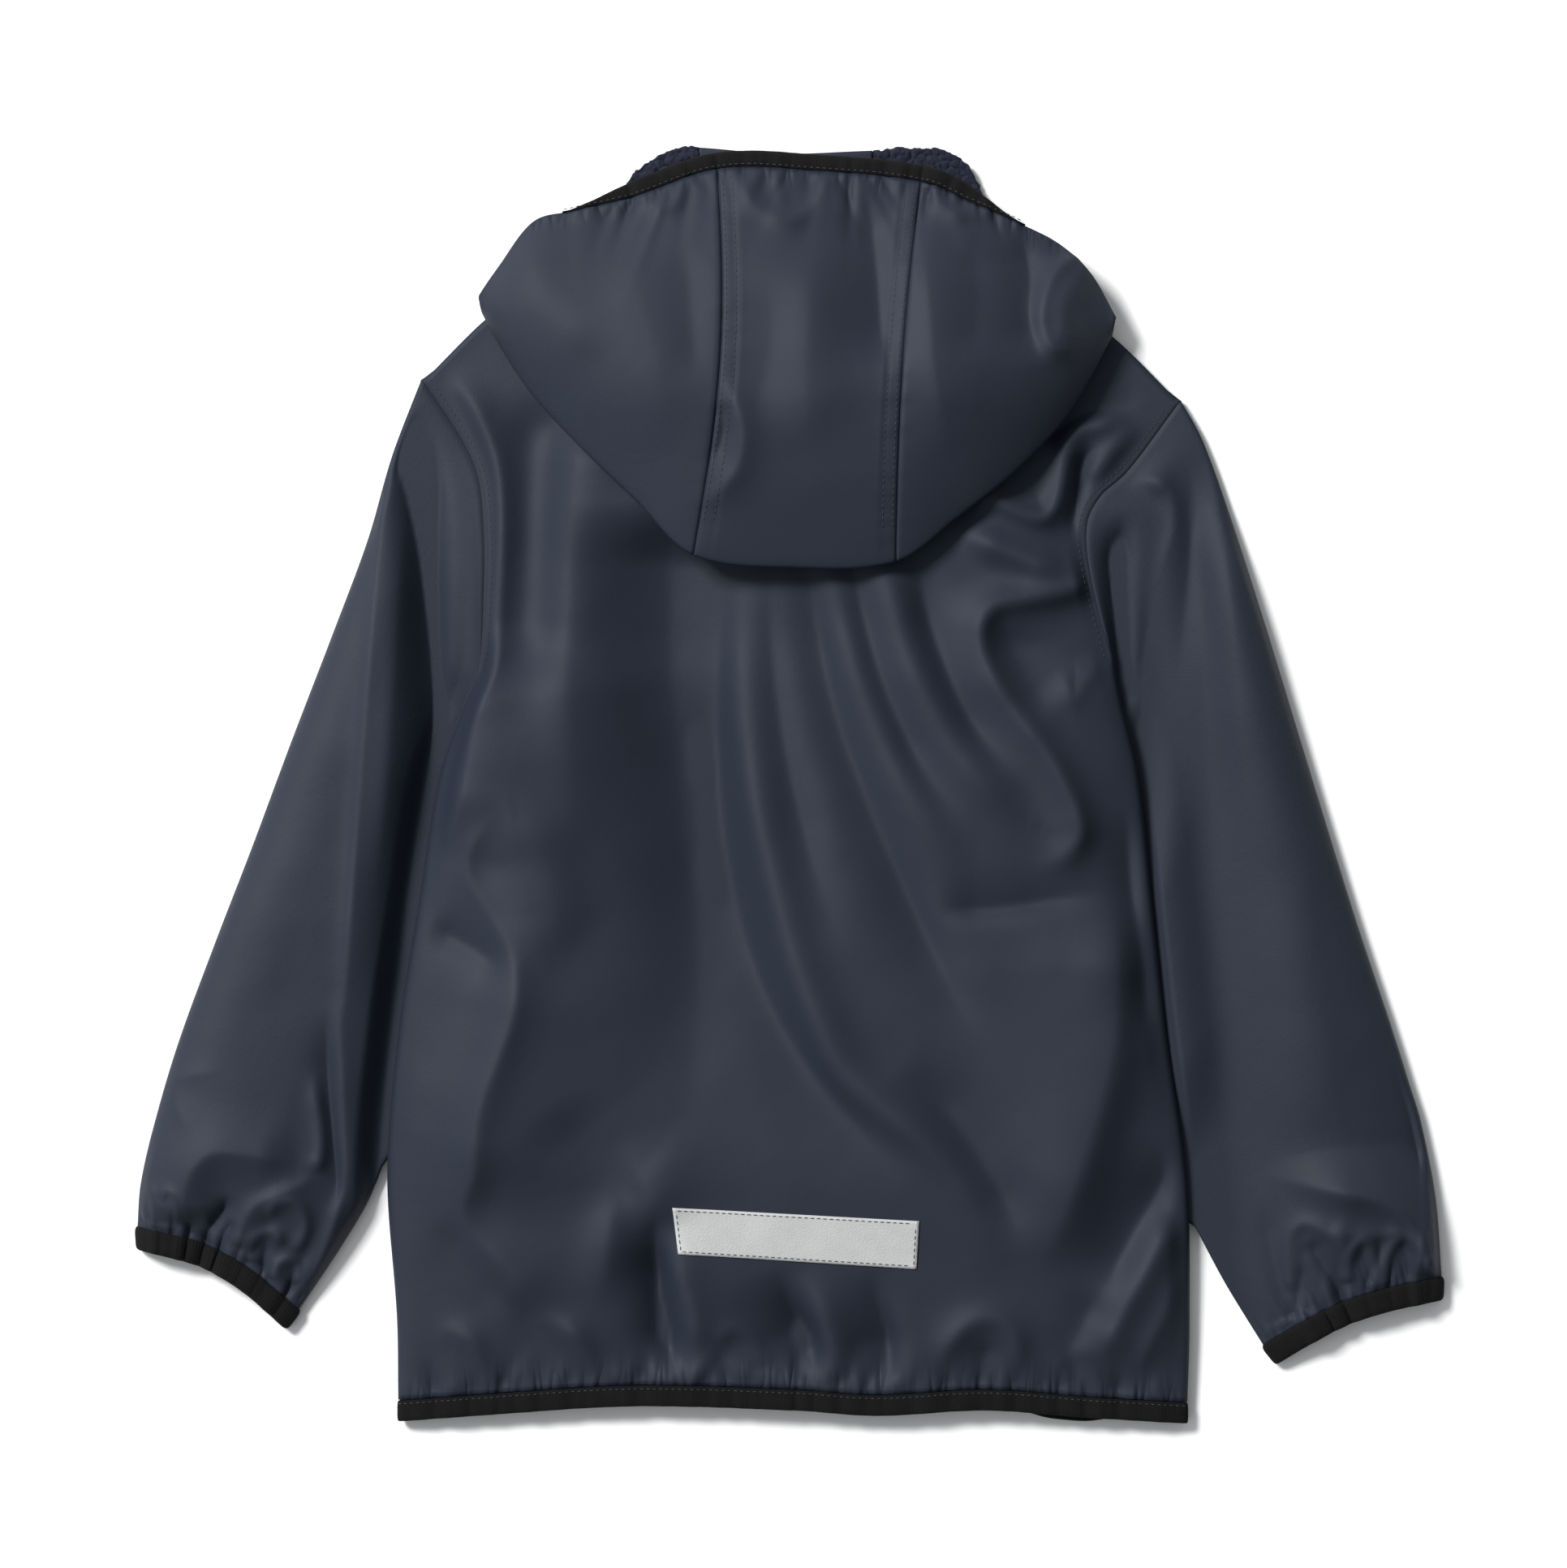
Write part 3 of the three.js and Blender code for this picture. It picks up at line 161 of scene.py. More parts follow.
WALL = 2
GAP = 0.3              # between two pieces at a seam
LAYER_STEP = WALL + GAP
GROUND = WALL / 2      # middle of a layer that lies on the floor
BACK_LOW = 4.6         # the back's folds go no lower than this
NECK_LOW = 3.8         # nor than this near the neck
FLEECE = 3
BAND_WALL = 0.8
BAND_STITCH = 1.6      # stitches on a binding, from the cloth's edge
STITCH_LIFT = 0.05
SEAM_STITCH = 6.6      # outer and inner stitches beside a hood seam
SEAM_STITCH_NEAR = 1.9
ARMHOLE_STITCH = 1.6   # stitches on the body, from the armhole seam
HOOD_STITCH = 1.5      # stitches on the hood's binding, from the cloth's edge
FLOOR_CLEAR = 0.1
GUARD_LIFT = 1.2       # the chin guard above the chin pieces, past one layer
STRIP_WALL = 0.5
STRIP_LIFT = 0.45      # middle of the strip above the cloth
TOOTH_PITCH = 1.6
TOOTH_HEIGHT = 0.55
ZIP_X = -2
TAPE_WIDTH = 7.4
TAPE_THICK = 1.6
TAPE_BOTTOM = -285.5
SLIDER_Y = 288
SLIDER_LIFT = 4
LIFT_RISE = (224, 262)    # the chin pieces rise to the slider's height between these y
LIFT_WIDTH = (20, 95)     # and sink back to the floor between these distances from the zip

# Lengths of the elastic edges, and of a sleeve along its middle.
HEM_LENGTH = 373
CUFF_LENGTH = 86
HOOD_RIM_LENGTH = 215
HOOD_RIM_START = 105      # its left end lies this far to the left of x = 0
SLEEVE_LENGTH = 430
HEM_RING = 740            # hem binding all round
# How far the fine pleats reach from each elastic edge.
HEM_PLEATS = 8
CUFF_PLEATS = 9
HOOD_PLEATS = 5


class Fold(NamedTuple):
    """Ridge (height +) or trough (height -) along points, with flanks left and right, seen along the run."""
    points: tuple
    left: float
    right: float
    height: float
    power: float = 1.6
    fade_in: float = 0.3
    fade_out: float = 0.3


BACK_FOLDS = (
    # left side
    Fold(((-170, 194), (-160, 191), (-151, 181), (-144, 166), (-139, 150), (-137, 130), (-138, 105),
          (-141, 75), (-145, 45), (-150, 15)), 9, 7, 4.5, 1.5, 0.08, 0.35),
    Fold(((-115, 190), (-117, 165), (-119, 135), (-121, 105), (-122, 75), (-123, 45),
          (-122, 10)), 13, 15, -5.5, 2.2, 0.15, 0.6),
    Fold(((-97, 175), (-100, 150), (-103, 120), (-104, 85), (-104, 50), (-103, 10), (-101, -30),
          (-98, -75)), 30, 16, 6, 1.7, 0.1, 0.7),
    Fold(((-57, 135), (-56, 90), (-56, 50), (-52, 10), (-47, -40), (-43, -90), (-46, -140),
          (-54, -190)), 44, 36, -16, 1.65, 0.1, 0.45),
    Fold(((-143, 80), (-146, 48), (-151, 10), (-160, -36)), 40, 8, 9, 1.6, 0.25, 0.3),
    Fold(((-125, -32), (-121, -48), (-118, -62)), 19, 20, 4.5, 2.6, 0, 0),
    Fold(((-134, -15), (-144, -21), (-151, -32), (-151, -44), (-143, -58), (-134, -74), (-129, -90),
          (-130, -108), (-136, -126), (-144, -146), (-148, -164), (-149, -184), (-154, -198), (-150, -212),
          (-140, -226), (-124, -242), (-108, -256)), 9, 13, 4, 1.3, 0.1, 0.35),
    Fold(((-126, -60), (-128, -100), (-138, -140), (-147, -180), (-148, -215)), 46, 24, 8, 1.6, 0.3, 0.3),
    Fold(((-172, -66), (-158, -73), (-144, -81), (-133, -92)), 8, 8, -3, 1.4),
    Fold(((-158, -194), (-149, -208), (-138, -222), (-122, -240), (-106, -256)), 18, 9, 4, 1.4, 0.5, 0.4),
    Fold(((-168, -205), (-156, -222), (-144, -238), (-130, -252)), 9, 9, -1.5),
    Fold(((-112, -150), (-96, -172), (-78, -190), (-62, -200)), 22, 22, -3),
    # right shoulder
    Fold(((88, 140), (104, 131), (114, 127), (121, 127), (126, 133), (129, 145), (131, 158), (136, 167),
          (146, 171), (164, 172)), 6, 6, 5, 1.4, 0.06, 0.15),
    Fold(((137, 112), (137, 138), (139, 153), (146, 163)), 4, 6, -6, 1.4, 0.3, 0.3),
    Fold(((147, 149), (154, 158), (161, 164)), 7, 7, 3.5, 1.8, 0, 0),
    Fold(((118, 160), (134, 173), (150, 182), (168, 191)), 9, 6, -5, 1.5, 0.15, 0.2),
    Fold(((76, 122), (96, 113), (114, 106), (138, 96)), 9, 8, 7, 1.6, 0.35, 0.35),
    # fan of folds from under the hood
    Fold(((-28, 135), (-33, 70), (-34, 15), (-30, -30), (-23, -65), (-12, -98), (3, -125), (20, -148),
          (40, -172), (58, -198)), 9, 22, -7, 1.5, 0.35, 0.25),
    Fold(((-18, 130), (-23, 55), (-18, 0), (-9, -42), (1, -80), (12, -110), (24, -135), (42, -152),
          (62, -168), (80, -188), (93, -210), (100, -236)), 13, 8, 6, 1.8, 0.4, 0.25),
    Fold(((-10, 130), (-9, 70), (-3, 20), (6, -20), (17, -58), (30, -90)), 8, 14, -4, 1.5, 0.45, 0.4),
    Fold(((4, 130), (14, 70), (23, 30), (34, 0), (46, -30), (60, -62), (74, -92), (88, -118),
          (98, -132)), 10, 18, -7.5, 1.5, 0.25, 0.3),
    Fold(((14, 128), (29, 62), (43, 26), (58, -6), (76, -34), (92, -52)), 10, 10, 3.5, 1.9, 0.35, 0.35),
    Fold(((24, 130), (38, 66), (52, 28), (67, 0), (84, -20)), 9, 14, -5.5, 1.5, 0.35, 0.35),
    Fold(((38, 130), (54, 72), (68, 38), (84, 12), (104, -12), (124, -20)), 11, 11, 5, 1.9, 0.3, 0.3),
    Fold(((56, 120), (65, 78), (76, 48), (90, 22), (106, 2)), 9, 13, -5.5, 1.5, 0.35, 0.3),
    Fold(((150, 97), (140, 95), (128, 91), (112, 88), (98, 85), (91, 77), (91, 64), (99, 46), (112, 28),
          (123, 13), (131, -2), (136, -14), (137, -24), (130, -34), (112, -41)), 7, 10, 7, 1.35, 0.06, 0.2),
    Fold(((104, 78), (106, 62), (116, 44), (126, 34)), 14, 14, -2.5),
    Fold(((128, 57), (131, 48), (134, 41), (141, 50), (150, 60)), 5, 5, 1.5, 1.4),
    Fold(((68, -58), (95, -59), (130, -54), (154, -50)), 12, 5, -4, 1.4, 0.25, 0.5),
    # right side and lower body
    Fold(((150, -50), (154, -85), (153, -120), (147, -150), (137, -182), (124, -215),
          (112, -240)), 14, 36, 9, 1.6, 0.2, 0.3),
    Fold(((160, -5), (163, -50), (167, -90), (168, -130)), 11, 11, -4),
    Fold(((50, -135), (72, -152), (90, -176), (104, -200), (110, -222)), 17, 10, -4.5),
    Fold(((-64, -198), (-63, -218), (-61, -242), (-57, -266), (-54, -286)), 6, 12, -12, 1.45, 0.4, 0.05),
    Fold(((-82, -182), (-84, -205), (-87, -228), (-92, -250)), 10, 10, 4, 1.6, 0.5, 0.5),
    Fold(((-60, -206), (-54, -226), (-46, -250), (-42, -276)), 10, 5, 3.5, 1.4, 0.4, 0.3),
    Fold(((-76, -164), (-71, -182), (-64, -198), (-59, -212)), 20, 9, 3, 1.5, 0.5, 0.4),
    Fold(((-8, -226), (0, -244), (8, -260), (11, -273), (8, -286)), 6, 22, -12, 1.45, 0.6, 0.05),
    Fold(((4, -228), (13, -244), (20, -266), (22, -284)), 9, 6, 4, 1.5, 0.5, 0.1),
    Fold(((38, -226), (42, -244), (47, -262), (48, -284)), 5, 18, -8.5, 1.4, 0.7, 0.05),
    Fold(((-36, -266), (-28, -258), (-18, -262), (-12, -276)), 5, 5, 1.5, 1.4, 0.2, 0.1),
    Fold(((68, -288), (74, -268), (84, -256), (96, -253), (106, -260), (109, -274),
          (110, -288)), 7, 9, 4, 1.4, 0.1, 0.1),
    Fold(((94, -262), (94, -276), (92, -290)), 6, 6, -2),
    Fold(((120, -290), (126, -276), (138, -269), (150, -274), (158, -291)), 8, 8, 2.5, 1.4),
    Fold(((184, -200), (172, -224), (158, -250), (146, -274)), 11, 10, 6, 1.5, 0.25, 0.2),
    Fold(((186, -170), (172, -196), (158, -222), (146, -246)), 9, 16, -5, 1.5, 0.3, 0.3),
    Fold(((150, -236), (136, -262), (126, -286)), 10, 10, -2.5),
    Fold(((187, -226), (180, -246), (170, -266), (163, -286)), 8, 8, 3, 1.4),
    Fold(((-170, -263), (-160, -259), (-151, -263), (-146, -273), (-143, -288)), 6, 7, 3, 1.4, 0.45, 0.1),
    Fold(((-124, -252), (-112, -254), (-101, -261), (-94, -274), (-91, -290)), 6, 8, 4, 1.4, 0.45, 0.1),
    Fold(((-136, -240), (-124, -252), (-112, -270), (-106, -288)), 8, 8, -1.6),
)
SLEEVE_FOLDS_LEFT = (
    Fold(((-186, 168), (-191, 140), (-195, 100), (-198, 60), (-201, 20), (-204, -20), (-207, -60),
          (-210, -100), (-216, -140)), 16, 4, 3.5, 1.3, 0.1, 0.25),
    Fold(((-183, 150), (-185, 110), (-187, 60), (-190, 10), (-194, -30), (-197, -60)), 8, 8, 2.5),
    Fold(((-181, 184), (-177, 155), (-173, 120), (-171, 90), (-169, 60), (-167, 25), (-172, -15), (-179, -55),
          (-186, -95), (-190, -130)), 9, 12, -11, 1.7, 0.12, 0.3),
    Fold(((-266, -136), (-282, -137), (-290, -141), (-291, -150), (-286, -160),
          (-283, -171)), 5, 5, 0.8, 1.4),
    Fold(((-286, -208), (-286, -193), (-281, -181), (-271, -174), (-255, -175), (-240, -178),
          (-231, -179)), 15, 12, 5, 1.35, 0.12, 0.25),
    Fold(((-223, -183), (-232, -190), (-243, -194), (-253, -200), (-259, -209),
          (-261, -220)), 8, 5, 3.0, 1.3, 0.3, 0.1),
    Fold(((-226, -185), (-222, -175), (-222, -162), (-224, -148),
          (-225, -132)), 3.5, 3.5, 2.5, 1.5, 0.15, 0.4),
    Fold(((-219, -105), (-218, -140), (-216, -166), (-214, -190), (-216, -206)), 4, 7, -3.6, 1.3, 0.3, 0.2),
    Fold(((-213, -95), (-212, -130), (-211, -160), (-210, -182), (-214, -202), (-222, -224),
          (-232, -244)), 9, 4, 3, 1.3, 0.3, 0.05),
    Fold(((-248, -205), (-243, -198), (-236, -197), (-231, -201), (-229, -209), (-232, -217),
          (-237, -221)), 3.5, 3.5, 2.4, 1.4, 0.15, 0.15),
    Fold(((-256, -226), (-254, -216), (-249, -212), (-243, -213), (-240, -219)), 3, 3, 2, 1.4, 0.05, 0.2),
    Fold(((-245, -234), (-242, -227), (-236, -225), (-233, -229),
          (-234, -237)), 2.6, 2.6, 1.8, 1.4, 0.05, 0.1),
    Fold(((-265, -193), (-268, -201), (-274, -209), (-278, -218)), 3.5, 3.5, -4, 1.3, 0.3, 0),
    Fold(((-262, -205), (-267, -212), (-271, -221)), 2.5, 2.5, -2.4, 1.3, 0.3, 0),
    Fold(((-284, -206), (-286, -216)), 2.2, 2.2, -2, 1.3, 0.4, 0),
    Fold(((-304, -186), (-301, -196), (-301, -212)), 2.6, 2.6, 1.4, 1.4, 0.3, 0),
    Fold(((-297, -197), (-294, -192), (-290, -197), (-289, -213)), 2.6, 2.6, 1.4, 1.4, 0.2, 0),
)
SLEEVE_FOLDS_RIGHT = (
    Fold(((157, 141), (169, 145), (178, 141), (182, 133), (182, 120), (178, 107), (174, 93), (168, 74),
          (164, 54), (162, 34)), 6, 4.5, 4.5, 1.4, 0.15, 0.25),
    Fold(((158, 132), (157, 112), (158, 95), (160, 75), (163, 55), (166, 28)), 6, 16, -11, 1.5, 0.25, 0.2),
    Fold(((191, 160), (190, 110), (186, 70), (182, 36)), 8, 8, -6),
    Fold(((180, 90), (179, 50), (178, 20), (181, -10), (188, -35), (196, -50)), 8, 7, 2.5),
    Fold(((193, 130), (196, 80), (197, 40), (198, 0), (202, -30), (206, -55)), 7, 11, -3.5),
    Fold(((203, 145), (208, 100), (212, 60), (215, 20), (219, -15), (228, -45)), 18, 9, 3.5),
    Fold(((166, 40), (170, 0), (176, -40), (181, -80), (186, -120), (190, -155)), 14, 10, -9),
    Fold(((198, -187), (216, -180), (236, -176), (256, -172), (278, -170),
          (304, -172)), 26, 14, -3.6, 1.5, 0.6, 0.05),
    Fold(((214, -184), (230, -186), (246, -190), (260, -193), (275, -196), (288, -202), (298, -211),
          (303, -222), (301, -234)), 13, 7, 6, 1.3, 0.5, 0.08),
    Fold(((238, -242), (236, -227), (237, -214), (243, -208), (251, -210), (260, -216),
          (268, -228)), 4.5, 4.5, 3, 1.4, 0.1, 0.2),
    Fold(((254, -211), (268, -213), (281, -213), (294, -210)), 6, 4, 2, 1.4, 0.2, 0.2),
    Fold(((246, -214), (250, -222), (257, -234), (263, -246)), 4, 4, -3, 1.3, 0.2, 0),
    Fold(((264, -236), (265, -223), (270, -216), (275, -218), (277, -227),
          (276, -240)), 2.6, 2.6, 2, 1.4, 0.05, 0.05),
    Fold(((282, -238), (283, -224), (288, -215), (294, -215), (298, -223),
          (297, -238)), 2.8, 2.8, 2, 1.4, 0.05, 0.05),
    Fold(((222, -196), (226, -208), (229, -222), (234, -238), (240, -254)), 6, 8, -4.5, 1.3, 0.3, 0.05),
    Fold(((200, -206), (211, -221), (223, -236), (237, -257)), 5, 7, 3, 1.35, 0.25, 0.05),
    Fold(((241, -226), (247, -238), (254, -250)), 3, 3, -2.2, 1.3, 0.3, 0),
    Fold(((232, -236), (240, -247), (246, -256)), 2.6, 2.6, 2, 1.3, 0.4, 0),
)
HOOD_FOLDS = (
    Fold(((-128, 262), (-120, 240), (-106, 218), (-88, 196)), 18, 14, 1.6),
    Fold(((-98, 273), (-88, 268), (-76, 272), (-68, 283)), 9, 8, -1.2),
    Fold(((-78, 262), (-70, 230), (-62, 196), (-56, 150)), 20, 22, 2.2),
    Fold(((-50, 260), (-46, 215), (-44, 185)), 8, 12, -1.6),
    Fold(((-31, 194), (-25, 178), (-22, 164), (-24, 150), (-32, 138), (-44, 130)), 9, 5, 3.5, 1.4, 0.3, 0.3),
    Fold(((-32, 182), (-31, 166), (-36, 150)), 4, 3, -2, 1.4),
    Fold(((-24, 290), (-18, 275), (-4, 267), (8, 270), (17, 288)), 5, 5, 2, 1.4, 0.05, 0.05),
    Fold(((-74, 282), (-64, 273), (-54, 274), (-46, 287)), 4, 4, 1.4, 1.4, 0.05, 0.05),
    Fold(((-101, 280), (-94, 270), (-86, 271), (-80, 281)), 4, 4, 1.2, 1.4, 0.05, 0.05),
    Fold(((99, 277), (104, 268), (111, 267)), 3, 3, 1.2, 1.4, 0.05, 0.2),
    Fold(((-10, 244), (-8, 215), (-11, 192), (-20, 168)), 14, 13, -1.4),
    Fold(((14, 262), (10, 230), (8, 195), (10, 150)), 18, 18, 2.5),
    Fold(((31, 286), (38, 268), (41, 240), (43, 214), (47, 186)), 12, 18, -5.6, 1.35),
    Fold(((62, 268), (66, 225), (68, 195), (76, 150)), 34, 12, 3.6, 1.4),
    Fold(((66, 287), (71, 275), (81, 269), (91, 271), (97, 279)), 4, 5, 2, 1.4, 0.05, 0.05),
    Fold(((84, 262), (88, 230), (84, 195)), 12, 14, -2),
    Fold(((108, 266), (113, 240), (113, 220), (118, 196)), 8, 16, -4.5, 1.4),
    Fold(((144, 250), (130, 246), (121, 232), (119, 216), (125, 205), (138, 206)), 5, 5, 2.5, 1.5, 0.15, 0.2),
    Fold(((137, 240), (130, 226), (130, 212)), 9, 8, 3, 1.8, 0, 0),
    Fold(((121, 262), (128, 258), (136, 248)), 5, 5, -2.5),
)


class Gathers(NamedTuple):
    """Short uneven ridges square to an elastic edge."""
    count: int
    height: float
    reach: float
    seed: int


HEM_GATHERS = Gathers(58, 2.4, 8, 3)
CUFF_GATHERS = {"left": Gathers(15, 2.6, 9, 5), "right": Gathers(15, 2.6, 11, 8)}
HOOD_GATHERS = Gathers(38, 2.2, 11, 4)


# ---- settings that the sidebar shows ----

class JacketSizes(bpy.types.PropertyGroup):
    wall: FloatProperty(
        name="Cloth", description="Thickness of the coated cloth", default=WALL * MM, unit="LENGTH")
    binding_width: FloatProperty(
        name="Binding width", description="Elastic binding as it shows on one side", default=0.010,
        unit="LENGTH")
    binding_thick: FloatProperty(
        name="Binding thickness", description="Binding with the cloth it wraps", default=0.0032,
        unit="LENGTH")
    hood_binding: FloatProperty(
        name="Hood binding", description="Width of binding that shows at the hood", default=0.008,
        unit="LENGTH")
    fold_depth: FloatProperty(
        name="Fold depth", description="Factor on the height of every fold", default=1.2, subtype="FACTOR")
    crumple: FloatProperty(
        name="Crumple", description="Height of the small uneven dents", default=0.0004, unit="LENGTH")
    stitch: FloatProperty(name="Stitch", description="Length of one stitch", default=0.0022, unit="LENGTH")
    stitch_pitch: FloatProperty(
        name="Stitch pitch", description="From one stitch to the next", default=0.0030, unit="LENGTH")
    pile: FloatProperty(
        name="Pile", description="Height of the fleece's curls", default=0.0012, unit="LENGTH")


def colour(name, description, value):
    return FloatVectorProperty(
        name=name, description=description, subtype="COLOR", size=3, min=0, max=1, default=value)


class JacketColours(bpy.types.PropertyGroup):
    cloth: colour("Cloth", "Coated cloth", (0.0160, 0.0213, 0.0335))
    binding: colour("Binding", "Elastic binding", (0.0053, 0.0053, 0.0055))
    fleece: colour("Fleece", "Lining fleece", (0.0172, 0.0203, 0.036))
    strip: colour("Reflector", "Reflective strip", (0.43, 0.43, 0.43))
    tape: colour("Zip tape", "Woven zip tape", (0.014, 0.017, 0.023))
    metal: colour("Zip metal", "Enamelled zip parts", (0.03, 0.03, 0.035))
    thread: colour("Thread", "Sewing thread", (0.020, 0.024, 0.032))


class JacketStage(bpy.types.PropertyGroup):
    camera_height: FloatProperty(
        name="Camera height", description="Camera above the floor", default=3.0, unit="LENGTH")
    view_width: FloatProperty(
        name="View width", description="Width seen at the height of the cloth", default=0.7434, unit="LENGTH")
    view_x: FloatProperty(
        name="View centre X", description="Middle of the view", default=-0.0029, unit="LENGTH")
    view_y: FloatProperty(
        name="View centre Y", description="Middle of the view", default=0.0004, unit="LENGTH")
    key: FloatProperty(
        name="Key light", description="Soft box at the upper left", default=320.0, unit="POWER")
    fill: FloatProperty(name="Room light", description="Strength of the even light", default=0.46)


class JacketSettings(bpy.types.PropertyGroup):
    sizes: PointerProperty(type=JacketSizes)
    colours: PointerProperty(type=JacketColours)
    stage: PointerProperty(type=JacketStage)


def settings():
    return bpy.context.scene.jacket


# ---- curves and heights ----

def column(rows, key, at, name):
    """Smooth value of one column where the rising column `key` is `at`."""
    x, y = rows[key], rows[name]
    at = np.clip(at, x[0], x[-1])
    i = np.clip(np.searchsorted(x, at, side="right") - 1, 0, len(x) - 2)
    step = np.diff(y) / np.diff(x)
    middle = (y[2:] - y[:-2]) / (x[2:] - x[:-2])
    slope = np.concatenate([step[:1], middle, step[-1:]])
    span = x[i + 1] - x[i]
    u = (at - x[i]) / span
    start = u * u * (2 * u - 3) + 1
    return (y[i] * start + slope[i] * span * u * (u - 1) ** 2
            + y[i + 1] * (1 - start) + slope[i + 1] * span * u * u * (u - 1))


def mix(a, b, t):
    return a + (b - a) * t


def smooth(t, low=0.0, high=1.0):
    t = np.clip((t - low) / (high - low), 0, 1)
    return t * t * (3 - 2 * t)


def end_fade(u, length=0.22):
    """0 at both ends of 0..1 and 1 between."""
    return smooth(u, 0, length) * smooth(1 - u, 0, length)


def smooth_path(points, steps=7):
    """Points of a smooth curve through the given ones."""
    p = np.array(points, float)
    p = np.vstack([2 * p[0] - p[1], p, 2 * p[-1] - p[-2]])
    t = np.linspace(0, 1, steps, endpoint=False)[:, None]
    parts = [
        0.5 * (2 * b + (c - a) * t + (2 * a - 5 * b + 4 * c - d) * t ** 2 + (3 * b - a - 3 * c + d) * t ** 3)
        for a, b, c, d in zip(p, p[1:], p[2:], p[3:])
    ]
    return np.vstack([*parts, p[-2]])


def along(path, x, y):
    """Signed distance to a path, + on its left, and the place along it from 0 to 1."""
    start, run = path[:-1], np.diff(path, axis=0)
    length = np.hypot(run[:, 0], run[:, 1])
    before = np.concatenate([[0], np.cumsum(length)])
    dx, dy = x[:, None] - start[:, 0], y[:, None] - start[:, 1]
    t = np.clip((dx * run[:, 0] + dy * run[:, 1]) / length ** 2, 0, 1)
    far = np.hypot(dx - t * run[:, 0], dy - t * run[:, 1])
    k = far.argmin(1)
    row = np.arange(len(x))
    side = np.sign(run[k, 0] * dy[row, k] - run[k, 1] * dx[row, k])
    return side * far[row, k], (before[k] + t[row, k] * length[k]) / before[-1]


FOLD_REACH = 5


def fold_end(u, share):
    """Fade over a share of a fold's run; without one the fold ends round."""
    return smooth(u, 0, share) if share else 1.0


def fold_height(folds, x, y):
    """Height that a table of folds adds at x, y."""
    height = np.zeros(x.shape)
    for fold in folds:
        path = smooth_path(fold.points)
        reach = max(fold.left, fold.right) * FOLD_REACH ** (1 / fold.power)
        low, high = path.min(0) - reach, path.max(0) + reach
        near = (x > low[0]) & (x < high[0]) & (y > low[1]) & (y < high[1])
        if not near.any():
            continue
        away, u = along(path, x[near], y[near])
        width = np.where(away > 0, fold.left, fold.right)
        fade = fold_end(u, fold.fade_in) * fold_end(1 - u, fold.fade_out)
        profile = np.exp(-(np.abs(away) / width) ** fold.power) - math.exp(-FOLD_REACH)
        height[near] += fold.height * fade * np.maximum(profile, 0)
    return height * settings().sizes.fold_depth


def gather_height(gathers, along_edge, from_edge, length):
    """Height of the gathers at a place along an elastic edge of the given length and away from it."""
    random = np.random.default_rng(gathers.seed)
    height = np.zeros(np.shape(along_edge))
    pitch = length / gathers.count
    for k in range(gathers.count):
        place = (k + 0.5 + random.uniform(-0.38, 0.38)) * pitch
        lean = random.uniform(-0.6, 0.6)
        width = pitch * random.uniform(0.2, 0.5)
        reach = gathers.reach * random.uniform(0.4, 2.2)
        rise = gathers.height * random.uniform(0.3, 1.2) * random.choice([1, 0.7, -1, -1])
        away = (along_edge - place - lean * from_edge) / (width * (1 + from_edge / reach))
        height += rise * np.exp(-away ** 2) * np.exp(-(from_edge / reach) ** 1.5)
    return height * mix(0.3, 1, smooth(from_edge, 0, 5))


def crumple(x, y, scale, seed):
    """Uneven dents from -1 to 1, `scale` mm apart."""
    flat = [noise.noise((a / scale, b / scale, seed)) for a, b in zip(x.ravel(), y.ravel())]
    return np.array(flat).reshape(x.shape)


def dents(x, y, seed):
    """Dents of cloth that was folded and worn, at two sizes."""
    size = settings().sizes.crumple / MM
    return size * (crumple(x, y, 42, seed) * 2.2 + crumple(x, y, 19, seed + 7) * 0.6)


def unit(v):
    return v / np.maximum(np.linalg.norm(v, axis=-1, keepdims=True), 1e-9)


def spot(x, y, z):
    return np.stack(np.broadcast_arrays(x, y, z), -1).astype(float)


# ---- mesh making ----

def grid_object(name, points, look, wall, wrap=False, turn=False, inward=False, elastic=None):
    """Piece on a grid of points[row][column] in mm, with UVs in metres along it.

    wrap joins the grid's ends, turn reverses its faces, and inward puts the whole wall behind them.
    elastic is the row that is sewn to an elastic binding, and how far its pleats reach.
    """
    rows, columns = points.shape[:2]
    bm = bmesh.new()
    bmesh.ops.create_grid(bm, x_segments=columns - 1, y_segments=rows - 1, size=0.5)
    bm.verts.ensure_lookup_table()
    middle = points[rows // 2]
    line = points[:, columns // 2]
    u = np.concatenate([[0], np.cumsum(np.linalg.norm(np.diff(middle, axis=0), axis=1))])
    v = np.concatenate([[0], np.cumsum(np.linalg.norm(np.diff(line, axis=0), axis=1))])
    place = [(round((w.co.y + 0.5) * (rows - 1)), round((w.co.x + 0.5) * (columns - 1))) for w in bm.verts]
    for w, (j, i) in zip(bm.verts, place):
        w.co = points[j, i] * MM
    if elastic:
        row, reach = elastic
        away = np.linalg.norm(points - points[row], axis=-1)
        near = np.exp(-(away / reach) ** 1.5)
        pleats = bm.verts.layers.float_vector.new("Pleats")
        for w, (j, i) in zip(bm.verts, place):
            w[pleats] = (points[row, i, 0] * MM, away[j, i] * MM, near[j, i])
    uv = bm.loops.layers.uv.new("Cloth")
    for face in bm.faces:
        for loop in face.loops:
            j, i = place[loop.vert.index]
            loop[uv].uv = (u[i] * MM, v[j] * MM)
    if wrap:
        edge = [w for w in bm.verts if w.is_boundary]
        bmesh.ops.remove_doubles(bm, verts=edge, dist=1e-7)
    if turn:
        bmesh.ops.reverse_faces(bm, faces=bm.faces)
    return finish(name, bm, look, wall, inward)


